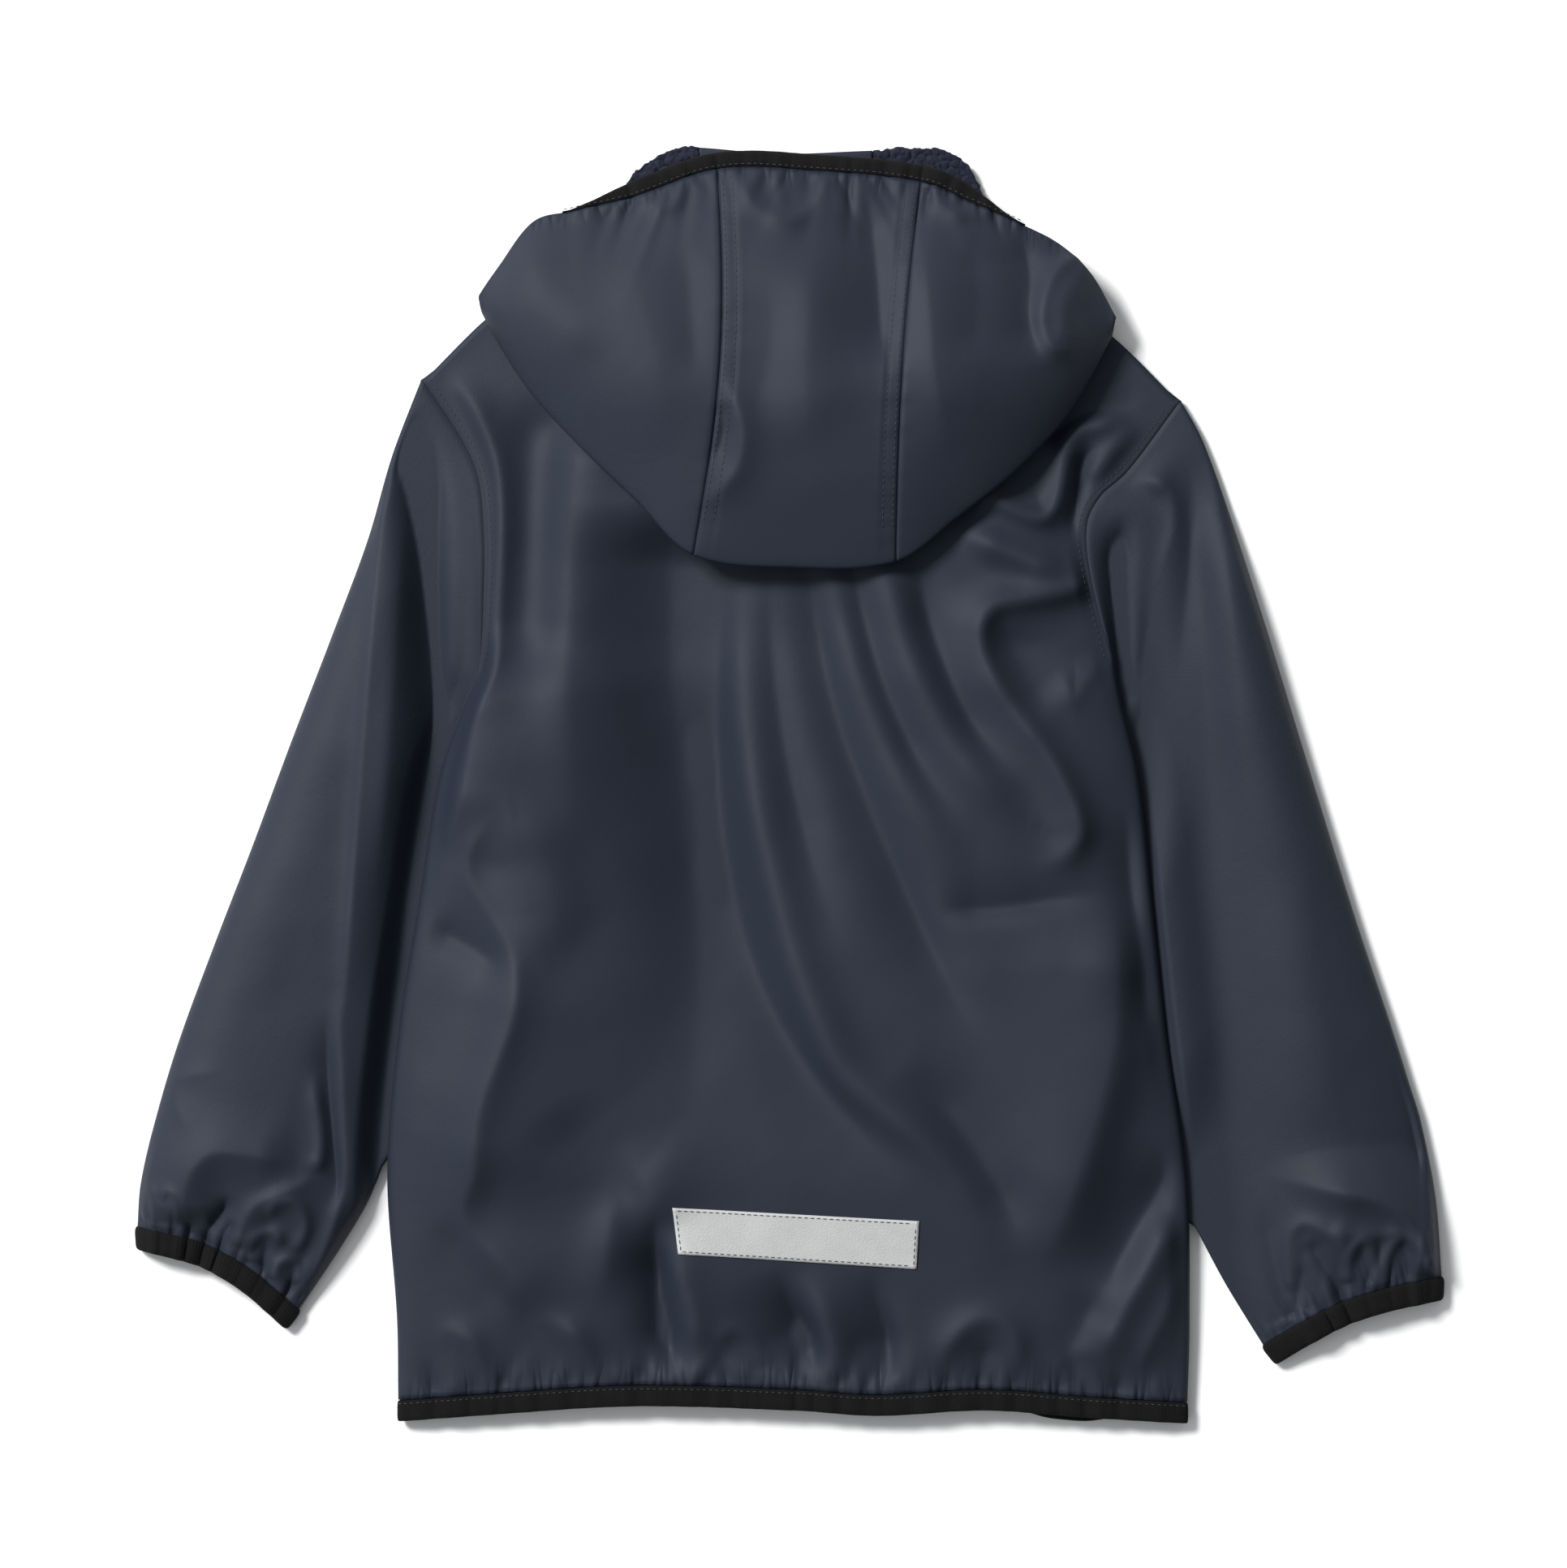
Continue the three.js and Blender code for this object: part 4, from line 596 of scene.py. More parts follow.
def finish(name, bm, look, wall=None, inward=False):
    """Puts a bmesh into the scene as a smooth piece with its material, and a wall if one is given."""
    for face in bm.faces:
        face.smooth = True
    mesh = bpy.data.meshes.new(name)
    bm.to_mesh(mesh)
    bm.free()
    piece = bpy.data.objects.new(name, mesh)
    bpy.context.scene.collection.objects.link(piece)
    mesh.materials.append(look)
    if wall:
        shell = piece.modifiers.new("Wall", "SOLIDIFY")
        shell.thickness = wall * MM
        shell.offset = -1 if inward else 0
    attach(piece, "jacket")
    return piece


def cloth_panel(name, points, **shape):
    """Panel of coated cloth on a grid of points."""
    return grid_object(name, points, cloth_material(), settings().sizes.wall / MM, **shape)


def surface_tree(*pieces):
    """Tree of the outer faces of pieces, for laying trims on them."""
    verts, faces = [], []
    graph = bpy.context.evaluated_depsgraph_get()
    for piece in pieces:
        solid = piece.evaluated_get(graph)
        mesh = solid.to_mesh()
        start = len(verts)
        verts += [v.co.copy() for v in mesh.vertices]
        faces += [[start + k for k in face.vertices] for face in mesh.polygons]
        solid.to_mesh_clear()
    return BVHTree.FromPolygons(verts, faces)


def drop_on(tree, x, y):
    """Place and normal, in mm, of the top of the cloth at x, y."""
    place, normal, _, _ = tree.ray_cast(Vector((x * MM, y * MM, 0.2)), Vector((0, 0, -1)))
    if place is None:
        return None
    return np.array(place) / MM, np.array(normal if normal.z > 0 else -normal)


# ---- materials ----

def link(tree, out, into):
    tree.links.new(out, into)


def add_node(tree, kind, **values):
    """Node with some of its inputs and properties set."""
    node = tree.nodes.new(kind)
    for name, value in values.items():
        if name in node.inputs:
            node.inputs[name].default_value = value
        else:
            setattr(node, name, value)
    return node


def effect(name, inputs, outputs):
    """Empty node group with named sockets, its tree, and its two end nodes."""
    tree = bpy.data.node_groups.new(name, "ShaderNodeTree")
    for direction, sockets in (("INPUT", inputs), ("OUTPUT", outputs)):
        for label, kind, value in sockets:
            socket = tree.interface.new_socket(name=label, in_out=direction, socket_type=f"NodeSocket{kind}")
            if value is not None:
                socket.default_value = value
    return tree, tree.nodes.new("NodeGroupInput"), tree.nodes.new("NodeGroupOutput")


def combine(tree, operation, a, b, c=None):
    """Math node on sockets or numbers."""
    node = add_node(tree, "ShaderNodeMath", operation=operation)
    for socket, value in zip(node.inputs, (a, b, c)):
        if value is None:
            continue
        if isinstance(value, (int, float)):
            socket.default_value = value
        else:
            link(tree, value, socket)
    return node.outputs[0]


def made_once(kind, name):
    """A material or an effect that is made when it is first asked for, and found by its name afterwards."""
    def ask(make):
        return lambda: getattr(bpy.data, kind).get(name) or make(name)
    return ask


@made_once("node_groups", "Plain weave")
def weave_effect(name):
    """Plain weave from the piece's UVs: Height of the threads."""
    tree, start, end = effect(
        name, [("Vector", "Vector", None), ("Threads per metre", "Float", 2500.0)],
        [("Height", "Float", None)])
    turns = combine(tree, "MULTIPLY", start.outputs["Threads per metre"], math.pi)
    split = add_node(tree, "ShaderNodeSeparateXYZ")
    link(tree, start.outputs["Vector"], split.inputs[0])
    warp = combine(tree, "SINE", combine(tree, "MULTIPLY", split.outputs[0], turns), None)
    weft = combine(tree, "SINE", combine(tree, "MULTIPLY", split.outputs[1], turns), None)
    link(tree, combine(tree, "MULTIPLY_ADD", warp, weft, 0.5), end.inputs["Height"])
    return tree


@made_once("node_groups", "Uneven finish")
def unevenness_effect(name):
    """Colour and Mask of a finish that isn't quite even, at two scales."""
    tree, start, end = effect(
        name,
        [("Vector", "Vector", None), ("Color", "Color", (0.5, 0.5, 0.5, 1)), ("Amount", "Float", 0.1),
         ("Scale", "Float", 30.0)],
        [("Color", "Color", None), ("Mask", "Float", None)])
    broad = add_node(tree, "ShaderNodeTexNoise", Detail=3.0, Roughness=0.55)
    fine = add_node(tree, "ShaderNodeTexNoise", Detail=2.0, Roughness=0.6)
    link(tree, start.outputs["Vector"], broad.inputs["Vector"])
    link(tree, start.outputs["Vector"], fine.inputs["Vector"])
    link(tree, start.outputs["Scale"], broad.inputs["Scale"])
    link(tree, combine(tree, "MULTIPLY", start.outputs["Scale"], 14.0), fine.inputs["Scale"])
    most = combine(tree, "MULTIPLY", broad.outputs["Fac"], 0.6)
    both = combine(tree, "MULTIPLY_ADD", fine.outputs["Fac"], 0.4, most)
    signed = combine(tree, "MULTIPLY_ADD", both, 2.0, -1.0)
    gain = combine(tree, "MULTIPLY_ADD", signed, start.outputs["Amount"], 1.0)
    scale = add_node(tree, "ShaderNodeVectorMath", operation="SCALE")
    link(tree, start.outputs["Color"], scale.inputs[0])
    link(tree, gain, scale.inputs["Scale"])
    link(tree, scale.outputs[0], end.inputs["Color"])
    link(tree, both, end.inputs["Mask"])
    return tree


@made_once("node_groups", "Fine pleats")
def pleats_effect(name):
    """Height of fine pleats, from a piece's Pleats: along its elastic edge, away from it, and nearness."""
    tree, start, end = effect(
        name, [("Vector", "Vector", None), ("Pitch", "Float", 0.006)], [("Height", "Float", None)])
    split = add_node(tree, "ShaderNodeSeparateXYZ")
    link(tree, start.outputs["Vector"], split.inputs[0])
    place = add_node(tree, "ShaderNodeCombineXYZ")
    link(tree, combine(tree, "DIVIDE", split.outputs[0], start.outputs["Pitch"]), place.inputs[0])
    slower = combine(tree, "MULTIPLY", split.outputs[1], 0.18)
    link(tree, combine(tree, "DIVIDE", slower, start.outputs["Pitch"]), place.inputs[1])
    waves = add_node(
        tree, "ShaderNodeTexNoise", noise_dimensions="2D", Scale=1.0, Detail=1.0, Roughness=0.4,
        Distortion=0.2)
    link(tree, place.outputs[0], waves.inputs["Vector"])
    signed = combine(tree, "MULTIPLY_ADD", waves.outputs["Fac"], 2.0, -1.0)
    folds = combine(tree, "ABSOLUTE", signed, None)
    link(tree, combine(tree, "MULTIPLY", folds, split.outputs[2]), end.inputs["Height"])
    return tree


def start_material(name, roughness, **constants):
    """Material with a Principled shader; returns it with its tree and shader."""
    material = bpy.data.materials.new(name)
    material.use_nodes = True
    tree = material.node_tree
    shader = next(n for n in tree.nodes if n.type == "BSDF_PRINCIPLED")
    shader.inputs["Roughness"].default_value = roughness
    for label, value in constants.items():
        shader.inputs[label.replace("_", " ")].default_value = value
    return material, tree, shader


def uneven(tree, shader, tint, amount, scale, roughness=None, swing=0.1):
    """Feeds the shader's colour, and its roughness if given, from the uneven finish."""
    place = add_node(tree, "ShaderNodeTexCoord")
    group = add_node(tree, "ShaderNodeGroup", node_tree=unevenness_effect())
    group.inputs["Color"].default_value = (*tint, 1)
    group.inputs["Amount"].default_value = amount
    group.inputs["Scale"].default_value = scale
    link(tree, place.outputs["Object"], group.inputs["Vector"])
    link(tree, group.outputs["Color"], shader.inputs["Base Color"])
    if roughness is not None:
        rough = combine(tree, "MULTIPLY_ADD", group.outputs["Mask"], swing, roughness - swing / 2)
        link(tree, rough, shader.inputs["Roughness"])
    return place


def bump(tree, shader, heights):
    """Chain of bumps from (height socket, distance in metres, strength) rows."""
    normal = None
    for height, distance, strength in heights:
        node = add_node(tree, "ShaderNodeBump", Strength=strength, Distance=distance)
        link(tree, height, node.inputs["Height"])
        if normal is not None:
            link(tree, normal, node.inputs["Normal"])
        normal = node.outputs["Normal"]
    link(tree, normal, shader.inputs["Normal"])


@made_once("materials", "Coated cloth")
def cloth_material(name):
    material, tree, shader = start_material(name, 0.6, Specular_IOR_Level=0.18)
    place = uneven(tree, shader, settings().colours.cloth, 0.06, 26.0, 0.6, 0.08)
    weave = add_node(tree, "ShaderNodeGroup", node_tree=weave_effect())
    weave.inputs["Threads per metre"].default_value = 2600.0
    link(tree, place.outputs["UV"], weave.inputs["Vector"])
    creases = add_node(tree, "ShaderNodeTexNoise", Scale=95.0, Detail=4.0, Roughness=0.55, Distortion=0.6)
    grain = add_node(tree, "ShaderNodeTexNoise", Scale=900.0, Detail=2.0, Roughness=0.6)
    link(tree, place.outputs["Object"], creases.inputs["Vector"])
    link(tree, place.outputs["Object"], grain.inputs["Vector"])
    edge = add_node(tree, "ShaderNodeAttribute", attribute_name="Pleats")
    pleats = add_node(tree, "ShaderNodeGroup", node_tree=pleats_effect())
    pleats.inputs["Pitch"].default_value = 0.0075
    link(tree, edge.outputs["Vector"], pleats.inputs["Vector"])
    bump(tree, shader, [
        (pleats.outputs["Height"], 0.003, 0.75),
        (creases.outputs["Fac"], 0.0006, 0.25),
        (grain.outputs["Fac"], 0.00018, 0.4),
        (weave.outputs["Height"], 0.00004, 0.5),
    ])
    return material


@made_once("materials", "Elastic binding")
def binding_material(name):
    material, tree, shader = start_material(name, 0.95, Specular_IOR_Level=0.15)
    place = uneven(tree, shader, settings().colours.binding, 0.5, 110.0)
    split = add_node(tree, "ShaderNodeSeparateXYZ")
    link(tree, place.outputs["UV"], split.inputs[0])
    ribs = combine(tree, "SINE", combine(tree, "MULTIPLY", split.outputs[1], 2 * math.pi / 0.0011), None)
    knots = combine(tree, "SINE", combine(tree, "MULTIPLY", split.outputs[0], 2 * math.pi / 0.0009), None)
    knit = combine(tree, "MULTIPLY_ADD", ribs, 0.35, combine(tree, "MULTIPLY", knots, 0.2))
    fuzz = add_node(tree, "ShaderNodeTexNoise", Scale=700.0, Detail=3.0, Roughness=0.7)
    link(tree, place.outputs["Object"], fuzz.inputs["Vector"])
    bump(tree, shader, [(knit, 0.00025, 0.6), (fuzz.outputs["Fac"], 0.0004, 0.5)])
    return material


@made_once("materials", "Curly fleece")
def fleece_material(name):
    material, tree, shader = start_material(
        name, 1.0, Specular_IOR_Level=0.2, Sheen_Weight=0.12, Sheen_Roughness=0.5)
    shader.inputs["Sheen Tint"].default_value = (0.35, 0.4, 0.6, 1)
    place = uneven(tree, shader, settings().colours.fleece, 0.35, 120.0)
    curls = add_node(tree, "ShaderNodeTexVoronoi", Scale=420.0, Randomness=1.0)
    hairs = add_node(tree, "ShaderNodeTexNoise", Scale=1300.0, Detail=4.0, Roughness=0.75, Distortion=1.5)
    link(tree, place.outputs["Object"], curls.inputs["Vector"])
    link(tree, place.outputs["Object"], hairs.inputs["Vector"])
    bump(tree, shader, [(curls.outputs["Distance"], 0.0012, 0.8), (hairs.outputs["Fac"], 0.0009, 0.9)])
    return material


@made_once("materials", "Reflective strip")
def strip_material(name):
    material, tree, shader = start_material(name, 0.62, Specular_IOR_Level=0.4)
    place = uneven(tree, shader, settings().colours.strip, 0.13, 160.0, 0.6, 0.1)
    beads = add_node(tree, "ShaderNodeTexVoronoi", Scale=1500.0, Randomness=0.9)
    link(tree, place.outputs["Object"], beads.inputs["Vector"])
    bump(tree, shader, [(beads.outputs["Distance"], 0.00025, 0.5)])
    return material


@made_once("materials", "Zip tape")
def tape_material(name):
    material, tree, shader = start_material(name, 0.85)
    place = uneven(tree, shader, settings().colours.tape, 0.15, 80.0)
    weave = add_node(tree, "ShaderNodeGroup", node_tree=weave_effect())
    weave.inputs["Threads per metre"].default_value = 1300.0
    link(tree, place.outputs["UV"], weave.inputs["Vector"])
    bump(tree, shader, [(weave.outputs["Height"], 0.0002, 0.6)])
    return material


@made_once("materials", "Zip metal")
def metal_material(name):
    material, tree, shader = start_material(name, 0.38, Metallic=0.7)
    place = uneven(tree, shader, settings().colours.metal, 0.2, 200.0, 0.36, 0.12)
    scratches = add_node(tree, "ShaderNodeTexNoise", Scale=800.0, Detail=2.0)
    link(tree, place.outputs["Object"], scratches.inputs["Vector"])
    bump(tree, shader, [(scratches.outputs["Fac"], 0.00005, 0.3)])
    return material


@made_once("materials", "Thread")
def thread_material(name):
    material, tree, shader = start_material(name, 0.6)
    place = uneven(tree, shader, settings().colours.thread, 0.2, 500.0)
    twist = add_node(tree, "ShaderNodeTexNoise", Scale=2500.0, Detail=1.0)
    link(tree, place.outputs["Object"], twist.inputs["Vector"])
    bump(tree, shader, [(twist.outputs["Fac"], 0.0001, 0.4)])
    return material


# ---- body surfaces ----

def body_edge(side, at):
    """Widest point of the body's side, on the left (-1) or the right (1)."""
    name = "left" if side < 0 else "right"
    return spot(*(column(BODY, "at", at, key) for key in (f"{name}_x", f"{name}_y", "side")))


def body_plan(across, at, top):
    """x and y of the body at a share across and up, bent to the hem and to a top edge."""
    left, right = body_edge(-1, at), body_edge(1, at)
    x = mix(left[..., 0], right[..., 0], across)
    hem = column(HEM, "x", x, "y") - mix(BODY["left_y"][0], BODY["right_y"][0], across)
    top_x = mix(BODY["left_x"][-1], BODY["right_x"][-1], across)
    tip = column(top, "x", top_x, "y") - mix(BODY["left_y"][-1], BODY["right_y"][-1], across)
    return x, mix(left[..., 1], right[..., 1], across) + hem * (1 - at) ** 6 + tip * at ** 5


def back_point(across, at, detail=True):
    """Middle of the back's cloth."""
    x, y = body_plan(across, at, BACK_TOP)
    side, crown = column(BODY, "at", at, "side"), column(BODY, "at", at, "crown")
    full = np.sqrt(1 - np.abs(2 * across - 1) ** 3)
    soft = np.sin(np.pi * np.clip(across, 0, 1)) ** 0.8
    dome = side + (crown - side) * mix(soft, full, np.clip(column(BODY, "at", at, "round"), 0, 1))
    top = at ** 6
    z = mix(dome, column(BACK_TOP, "x", x, "z"), top)
    if detail:
        fade = end_fade(across, 0.03) * smooth(at, 0, 0.06) * smooth(1 - at, 0, 0.05)
        z = z + fade * (fold_height(BACK_FOLDS, x, y) + dents(x, y, 1))
        from_hem = np.maximum(y - column(HEM, "x", x, "y"), 0)
        gathers = gather_height(HEM_GATHERS, x - BODY["left_x"][0], from_hem, HEM_LENGTH)
        z = z + gathers * end_fade(across, 0.03)
        z = np.maximum(z, mix(BACK_LOW, NECK_LOW, smooth(at, 0.7, 0.92)) * end_fade(across, 0.03))
    return spot(x, y, z)


SEAM_ROUND = 1.6     # the back's edge goes this far out at the armhole seam
SEAM_DROP = 0.9      # and this far down
FRONT_UNDER = 1.5    # a front reaches this far out past the back's turned-under edge


def side_radius(height):
    """Radius of the body's side fold, whose widest point is at this height."""
    return height - GROUND - LAYER_STEP - GAP / 3


def side_fold(side, at, steps):
    """Rows of points from the body's widest point down and under, or rounded off at the armhole seam."""
    at = np.asarray(at, float)[:, None]
    edge = back_point(np.full(at.shape, 0.0 if side < 0 else 1.0), at, False)
    share = (np.arange(steps) + 1) / steps
    angle = share * math.pi / 2
    x, y, z = np.moveaxis(edge, -1, 0)
    radius = side_radius(z)
    under = spot(x - side * radius * (1 - np.cos(angle)), y, z - radius * np.sin(angle))
    seam = spot(x + side * SEAM_ROUND * np.sin(angle), y, z - SEAM_DROP * (1 - np.cos(angle)))
    turned = np.clip(column(BODY, "at", at, "round"), 0, 1)[..., None]
    return mix(seam, under, turned)


def body_rows(below=132, above=72):
    return np.concatenate([np.linspace(0, UNDERARM_AT, below)[:-1], np.linspace(UNDERARM_AT, 1, above)])


def dense_ends(count, share=0.35):
    """Steps from 0 to 1 that are closer near both ends."""
    t = np.linspace(0, 1, count)
    return mix(t, 0.5 - 0.5 * np.cos(math.pi * t), share)


def back_grid():
    at = body_rows()
    across, rows = np.meshgrid(dense_ends(196), at)
    middle = back_point(across, rows)
    left = side_fold(-1, at, 6)[:, ::-1]
    return np.concatenate([left, middle, side_fold(1, at, 6)], axis=1)


def back_height(x, y):
    """Height of the plain back at places in plan."""
    low, high = np.zeros(np.shape(x)), np.ones(np.shape(x))
    for _ in range(24):
        middle = (low + high) / 2
        left, right = body_edge(-1, middle)[..., 0], body_edge(1, middle)[..., 0]
        across = np.clip((x - left) / (right - left), 0, 1)
        below = back_point(across, middle, False)[..., 1] < y
        low, high = np.where(below, middle, low), np.where(below, high, middle)
    return back_point(across, low, False)[..., 2]


def front_grid(side, rows, columns):
    """Middle of a front, which lies on the floor, from its side to the zip."""
    at = np.asarray(rows, float)
    left, right = body_edge(-1, at)[:, 0], body_edge(1, at)[:, 0]
    edge = body_edge(side, at)
    bulge = edge[:, 0] - side * np.maximum(side_radius(edge[:, 2]) - FRONT_UNDER, 0)
    outer = mix(side_fold(side, at, 2)[:, -1, 0], bulge, np.clip(column(BODY, "at", at, "round"), 0, 1))
    x = mix(outer[:, None], ZIP_X + side * (TAPE_WIDTH + GAP), np.linspace(0, 1, columns)[None, :])
    across = np.clip((x - left[:, None]) / (right - left)[:, None], 0, 1)
    _, y = body_plan(across, at[:, None], FRONT_TOP)
    return spot(x, y, GROUND)


# ---- sleeves ----

def turn_under(edge, following, bottom, steps):
    """Quarter turn from a fold's widest points down to `bottom`, inward toward the following points."""
    inward = unit((following - edge) * (1, 1, 0))[:, None]
    radius = (edge[:, 2] - bottom)[:, None, None]
    angle = ((np.arange(steps) + 1) / steps * math.pi / 2)[None, :, None]
    down = np.array((0, 0, -1))
    return edge[:, None] + radius * (inward * (1 - np.cos(angle)) + down * np.sin(angle))


def armhole(side, step, off):
    """Place on the armhole seam, 0 at the underarm and 1 at the shoulder, moved off the body."""
    at = mix(UNDERARM_AT, 1, np.clip(step, 0, 1))
    here = back_point(np.full(at.shape, 0.0 if side < 0 else 1.0), at, False)
    ahead = body_edge(side, mix(UNDERARM_AT, 1, np.clip(step + 0.125, 0, 1)))
    behind = body_edge(side, mix(UNDERARM_AT, 1, np.clip(step - 0.125, 0, 1)))
    run = unit((ahead - behind) * (1, 1, 0))
    here[..., 0] += side * run[..., 1] * off
    here[..., 1] -= side * run[..., 0] * off
    return here


# peak is where the crown lies across, fullness how round it is. Beside the body a sleeve lies low up to
# `flat` mm and is at its full height from `low` mm on; `lip` is the height of the ridge where it starts.
# The cuff bows toward the shoulder, and its binding leans at the outer and the inner fold.
SLEEVES = {
    "left": dict(
        side=-1, rows=SLEEVE_LEFT, folds=SLEEVE_FOLDS_LEFT, area=0.075, peak=0.38, fullness=2.8, flat=4,
        low=17, lip=0, cuff_bow=8, outer_lean=0.06, inner_lean=-0.75),
    "right": dict(
        side=1, rows=SLEEVE_RIGHT, folds=SLEEVE_FOLDS_RIGHT, area=0.084, peak=0.7, fullness=2.3, flat=20,
        low=78, lip=7, cuff_bow=6, outer_lean=-0.04, inner_lean=0.8),
}
SLEEVE_CLEARANCE = 0.2
UNDERARM_EASE = 0.8
ARMHOLE_GAP = 1.9
ARMHOLE_BLEND = 0.35     # share of a sleeve over which it comes to the armhole's height
SEAM_SINK = (0.7, 1.5)   # depth of the armhole seam in the sleeve, and its width
LIP_PLACE = 7            # the lip's top, from the body
LIP_WIDTH = 5
LIP_SLOPE = 3.4          # how much wider its far side is
TUCK = (9, 4.5)          # how much of the inner fold hides under the body, near the underarm and below


def sleeve_point(name, at, across):
    """Middle of a sleeve's upper layer; across is 0 at the outer fold and 1 at the inner one."""
    sleeve = SLEEVES[name]
    side, rows = sleeve["side"], sleeve["rows"]

    # In plan: between the two folds, bent to the armhole at one end and bowed at the cuff.
    outer = spot(column(rows, "at", at, "outer_x"), column(rows, "at", at, "outer_y"), 0)
    inner = spot(column(rows, "at", at, "inner_x"), column(rows, "at", at, "inner_y"), 0)
    place = mix(outer, inner, across[..., None])
    first = [np.array((rows[f"{key}_x"][0], rows[f"{key}_y"][0], 0)) for key in ("outer", "inner")]
    start = mix(first[0], first[1], across[..., None])
    seam = armhole(side, 1 - across, ARMHOLE_GAP + UNDERARM_EASE * across ** 6)
    near = np.clip(1 - at / ARMHOLE_BLEND, 0, 1) ** 2
    wide = unit(outer - inner)
    toward_shoulder = spot(-side * wide[..., 1], side * wide[..., 0], 0)
    place = place + near[..., None] * (seam * (1, 1, 0) - start)
    place = place + toward_shoulder * (sleeve["cuff_bow"] * np.sin(math.pi * across) * at ** 6)[..., None]

    # The inner fold keeps clear of the body, or lies tucked against it.
    edge_name = "left" if side < 0 else "right"
    clear = column(dict(y=BODY[f"{edge_name}_y"], x=BODY[f"{edge_name}_x"]), "y", place[..., 1], "x")
    clear = clear + side * SLEEVE_CLEARANCE
    gap = side * (place[..., 0] - clear)
    tucked = gap * across ** 10 * smooth(mix(*TUCK, smooth(at, 0.12, 0.3)) - gap, 0, 3)
    place[..., 0] -= side * np.where(gap < 0, gap * smooth(at, 0, 0.1), tucked)

    # Height: a dome with its folds and gathers, low beside the body.
    edge, crown = column(rows, "at", at, "edge"), column(rows, "at", at, "crown")
    peak = sleeve["peak"]
    skew = np.where(across < peak, across / peak - 1, (across - peak) / (1 - peak))
    dome = edge + (crown - edge) * np.sqrt(1 - np.abs(skew) ** sleeve["fullness"])
    x, y = place[..., 0], place[..., 1]
    relief = fold_height(sleeve["folds"], x, y) + dents(x, y, 40 + side)
    along_cuff = across * np.linalg.norm(outer - inner, axis=-1)
    relief = relief + gather_height(CUFF_GATHERS[name], along_cuff, (1 - at) * SLEEVE_LENGTH, CUFF_LENGTH)
    relief = relief * end_fade(across, 0.04) * smooth(at, 0, 0.06)
    full = np.maximum(mix(dome, seam[..., 2], near) + relief, edge)
    beside = mix(1, smooth(gap, sleeve["flat"], sleeve["low"]), smooth(at, 0.02, 0.12))
    past = gap - LIP_PLACE
    ridge = np.exp(-(np.where(past < 0, past, past / LIP_SLOPE) / LIP_WIDTH) ** 2)
    stretch = smooth(at, 0.15, 0.35) * (1 - smooth(at, 0.6, 0.78))
    lip = sleeve["lip"] * ridge * stretch * end_fade(across, 0.02)
    depth, reach = SEAM_SINK
    sunk = depth * np.exp(-(at * SLEEVE_LENGTH / reach) ** 2)
    place[..., 2] = mix(edge, full, beside) + lip - sunk
    return place


SLEEVE_COLUMNS = 92


def sleeve_ring(name, at, columns=SLEEVE_COLUMNS, turn=5, flat=30):
    """Rows of a sleeve all round: over the top, under the inner fold and back along the floor."""
    across, rows = np.meshgrid(dense_ends(columns, 0.6), at)
    upper = sleeve_point(name, rows, across)
    outer = turn_under(upper[:, 0], upper[:, columns // 8], GROUND, turn)
    inner = turn_under(upper[:, -1], upper[:, -columns // 8], GROUND, turn)
    low, back = np.meshgrid(np.linspace(0.9, 0.1, flat), at)
    ground = sleeve_point(name, back, low)
    ground[..., 2] = GROUND
    return np.concatenate([upper, inner, ground, outer[:, ::-1], upper[:, :1]], axis=1)


# ---- hood ----

def hood_row(at):
    return {key: column(HOOD, "at", at, key) for key in HOOD}


def hood_plan(at, down):
    row = hood_row(at)
    return (mix(row["top_x"], row["fold_x"], down) + row["bow"] * np.sin(math.pi * down),
            mix(row["top_y"], row["fold_y"], down))


HOOD_CREST = 0.6    # the hood's highest place, from the face opening to the lower fold
HOOD_SAG = 0.2      # share of its height that it loses at the fold


def hood_upper(at, down):
    """Middle of the hood's upper layer: down is 0 at the face opening and 1 at the lower fold."""
    row = hood_row(at)
    x, y = hood_plan(at, down)
    rise = np.sin(math.pi / 2 * np.minimum(1, down / HOOD_CREST))
    sag = HOOD_SAG * row["crown"] * np.maximum(0, (down - HOOD_CREST) / (1 - HOOD_CREST)) ** 2
    surface = row["rim"] + (row["crown"] - row["rim"]) * rise - sag
    surface = surface + fold_height(HOOD_FOLDS, x, y) + dents(x, y, 70) * smooth(down, 0, 0.1)
    surface = surface + seam_relief(down, x, y)
    from_rim = down * (row["top_y"] - row["fold_y"])
    rim = gather_height(HOOD_GATHERS, x + HOOD_RIM_START, from_rim, HOOD_RIM_LENGTH)
    surface = surface + rim * end_fade(smooth(at, 0.17, 0.88), 0.1)
    return spot(x, y, row["fold"] + (surface - row["fold"]) * np.sqrt(1 - down ** 4.5))


def seam_relief(down, x, y):
    """The two seams of the hood: a groove, a topstitched band on the middle panel, and puckers."""
    height = np.zeros(np.shape(x))
    for seam, inward in zip(HOOD_SEAMS, (1, -1)):
        seam_x, _ = hood_plan(np.full(np.shape(x), seam), down)
        away = (x - seam_x) * inward
        height -= 0.9 * np.exp(-away ** 2) + 0.75 * np.exp(-((away - SEAM_STITCH) / 0.9) ** 2)
        height += 0.35 * smooth(away, 0.5, 2) * smooth(8, 5.5, away)
        pucker = crumple(x * 0.12, y, 5.5, 20 + seam)
        height += 0.6 * pucker * np.exp(-((away - 3) / 7) ** 2)
    return height


HOOD_TURN = 7
HOOD_UNDER_LIFT = 1


